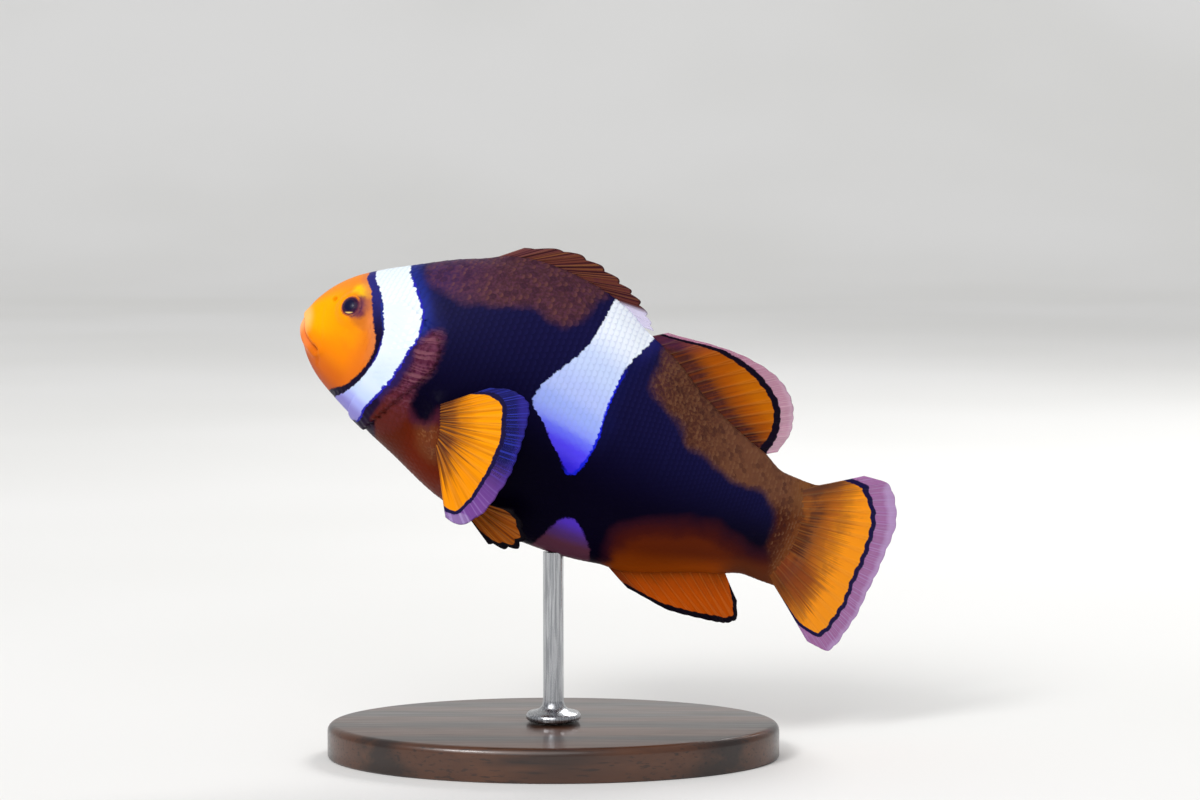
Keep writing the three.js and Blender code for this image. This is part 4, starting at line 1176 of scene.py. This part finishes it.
def drawn_steel(tree):
    """Stainless rod, drawn and rubbed lengthwise: fine bright and dull lines along it, drawn as coarse as 0.2 mm
    so that they show."""
    place = add(tree, "TexCoord", out="Object")
    drawn = add(tree, "Mapping", {"Vector": place, "Scale": (1.0, 1.0, 0.03)})
    lines = add(tree, "TexNoise", {"Vector": drawn, "Scale": 1 / (0.2 * MM), "Detail": 2.0})
    return add(tree, "BsdfPrincipled", {
        "Base Color": coats(tree, {"lines": lines}, "#96989C", [("#C6C7CA", 1, ("lines", 0.35, 0.65))]),
        "Metallic": 1.0,
        "Roughness": add(tree, "MapRange", {0: lines, 1: 0.3, 2: 0.7, 3: 0.18, 4: 0.32}),
    })


def white_paper(tree):
    """Matt white paper, a touch mottled, in patches of 250 mm."""
    place = add(tree, "TexCoord", out="Object")
    mottle = add(tree, "TexNoise", {"Vector": place, "Scale": 1 / (250 * MM), "Detail": 2.0})
    paint = coats(tree, {"mottle": mottle}, "#E6E5E2", [("#ECEBE9", 1, ("mottle", 0.3, 0.7))])
    return add(tree, "BsdfPrincipled", {"Base Color": paint, "Roughness": 0.85})


def make_base():
    """An oval of wood, its top edge rounded more than its foot."""
    low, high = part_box("stand_base")
    bm = bmesh.new()
    bmesh.ops.create_circle(bm, cap_ends=True, segments=144, radius=0.5)
    bmesh.ops.scale(bm, vec=(high.x - low.x, high.y - low.y, 1), verts=bm.verts)
    grown = bmesh.ops.extrude_face_region(bm, geom=bm.faces[:])["geom"]
    bmesh.ops.translate(bm, vec=(0, 0, high.z), verts=[g for g in grown if isinstance(g, bmesh.types.BMVert)])
    bmesh.ops.translate(bm, vec=(0, 0, low.z), verts=bm.verts)
    bmesh.ops.recalc_face_normals(bm, faces=bm.faces)
    for height, width in ((high.z, 1.1 * MM), (low.z, 0.4 * MM)):
        rim = [e for e in bm.edges if all(abs(v.co.z - height) < 1e-6 for v in e.verts) and len(e.link_faces) == 2]
        bmesh.ops.bevel(bm, geom=rim, offset=width, segments=5, profile=0.5, affect="EDGES", material=-1)
    walnut = new_material("lacquered_walnut", dark_wood)
    add_piece("stand_base_oval", finished(bm, "stand_base", crisp=40), ["stand_base"], walnut)


def make_rod():
    """A turned rod that flares into a stepped foot. The foot's points are in millimetres above the base."""
    low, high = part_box("stand_rod")
    rod, foot = 1.5, 4.0
    profile = [(0, 0), (foot - 0.3, 0), (foot, 0.3), (foot, 0.8), (foot - 0.3, 1.15), (foot * 0.62, 1.4),
               (rod + 0.5, 1.75), (rod + 0.12, 2.2), (rod, 3.0)]
    profile = [(radius * MM, low.z + height * MM) for radius, height in profile] + [(rod * MM, high.z), (0, high.z)]
    steel = new_material("drawn_stainless_steel", drawn_steel)
    mesh = finished(turned(profile, 72, 1e-6), "stand_rod", crisp=50)
    add_piece("stand_rod_turned", mesh, ["stand_rod"], steel)


# ---------- studio, in metres ----------


def make_floor():
    """A flat floor that sweeps up far behind the model."""
    front, turns_up, sweep, top, half = -6.0, 1.2, 0.8, 4.0, 4.0
    bm = bmesh.new()
    profile = [(front, 0.0), (turns_up, 0.0)]
    for a in np.linspace(0.1, math.pi / 2, 16):
        profile.append((turns_up + sweep * math.sin(a), sweep - sweep * math.cos(a)))
    profile.append((turns_up + sweep, top))
    line = [bm.verts.new((-half, y, z)) for y, z in profile]
    edges = [bm.edges.new(pair) for pair in zip(line[:-1], line[1:])]
    swept = bmesh.ops.extrude_edge_only(bm, edges=edges)["geom"]
    bmesh.ops.translate(bm, vec=(2 * half, 0, 0), verts=[g for g in swept if isinstance(g, bmesh.types.BMVert)])
    mesh = finished(bm, "floor")
    mesh.materials.append(new_material("matt_white_paper", white_paper))
    floor = place_in_scene("floor", mesh)


def make_light():
    """A pale even room, two round lamps that look at the model, and a wide soft light from above in front."""
    world = bpy.data.worlds.new("studio")
    world.use_nodes = True
    sky = world.node_tree.nodes["Background"]
    sky.inputs["Color"].default_value = linear("#E6E8EC")
    sky.inputs["Strength"].default_value = 0.5
    bpy.context.scene.world = world
    for name, where, size, power in (("key", (-0.4, -0.55, 0.6), 0.25, 3.1), ("back", (0.3, 0.45, 0.5), 0.3, 2.0)):
        data = bpy.data.lights.new(name, "AREA")
        data.shape, data.size, data.energy = "DISK", size, power
        lamp = place_in_scene(name, data)
        lamp.location = where
        lamp.rotation_euler = (Vector((0, 0, 0.05)) - lamp.location).to_track_quat("-Z", "Y").to_euler()
    data = bpy.data.lights.new("sky_panel", "SUN")
    data.energy, data.angle = 1.08, math.radians(50)
    place_in_scene("sky_panel", data).rotation_euler = (math.radians(48), 0, math.radians(-22))
    # Colours are shown as they are, so that the paint's hex values are what the eye sees.
    bpy.context.scene.view_settings.view_transform = "Standard"


def make_camera():
    """A long lens, a little above the fish and looking down on it."""
    data = bpy.data.cameras.new("camera")
    data.lens, data.sensor_width = 100, 36
    data.clip_start, data.clip_end = 0.01, 50
    camera = place_in_scene("camera", data)
    down = math.radians(5)
    target, distance = Vector((6.8, 0, 52.2)) * MM, 483.1 * MM
    camera.location = target + Vector((0, -math.cos(down), math.sin(down))) * distance
    camera.rotation_euler = (math.radians(90) - down, 0, 0)
    bpy.context.scene.camera = camera


# ---------- putting it together ----------

make_camera()
make_floor()
make_light()
make_skin()

SCALE = scale_pattern()
SCALED_SKIN = new_material("painted_fish_scales", fish_skin)
for word, side in SIDES:
    make_scales(f"scales_head_{word}", side, scale_rows(7.6, 21.5, 34), on_head)
    make_scales(f"scales_trunk_{word}", side, scale_rows(13.4, 56, 44), on_trunk)
    make_scales(f"scales_stem_{word}", side, scale_rows(56, 66.5, 36) + scale_rows(66.5, 81, 28))

FIN_PAINT = {name: new_material(f"{name}_membrane", fin_skin(look)) for name, look in FIN_LOOKS.items()}
make_fin("dorsal_fin_spiny", "spiny_dorsal", SPINY, 10, 40, branch=1, notch=0.07, per_ray=14, stripes=4.6)
make_fin("dorsal_fin_soft", "soft_dorsal", SOFT, 15, 54, ripple=0.1,
         line=[(0, 0.8), (0.12, 0.7), (0.2, 0.5), (0.26, 0.9), (0.32, 1.3), (0.39, 1.7), (0.47, 2.1), (0.56, 2.1),
               (0.8, 2.05), (1, 1.9)])
make_fin("anal_fin", "anal", ANAL, 13, 50, ripple=0.1, down_sides=(None, (2, 0)))
make_fin("tail_fin", "tail", tail_place, 15, 70, thick=(1, 0.3), ripple=0.12, per_ray=14,
         down_sides=((1.8, 0.35), None), swell=stem_swell,
         line=[(0, 3.3), (0.13, 3.1), (0.25, 2.9), (0.38, 3.2), (0.52, 3.2), (0.64, 3.5), (0.77, 4), (0.89, 4.1),
               (0.98, 2.6), (1, 2.2)])
for word, side in SIDES:
    make_fin(f"pectoral_fin_{word}", "pectoral", PECTORAL, 16, 64, thick=(0.7, 0.28), side=side, ripple=0.1,
             stripes=1.9,
             line=[(0, 2.2), (0.12, 2.5), (0.31, 3.4), (0.49, 2.6), (0.67, 2.6), (0.82, 2.4), (0.91, 2), (1, 1)])
    make_fin(f"pelvic_fin_{word}", "pelvic", PELVIC, 6, 50, side=side, per_ray=16, branch=0.3, notch=0.05,
             down_sides=((1.5, 0), (1.5, 0)))

EYE_PAINT = new_material("lacquered_glass_eye", eye_paint)
for word, side in SIDES:
    make_eye(word, side)
make_base()
make_rod()
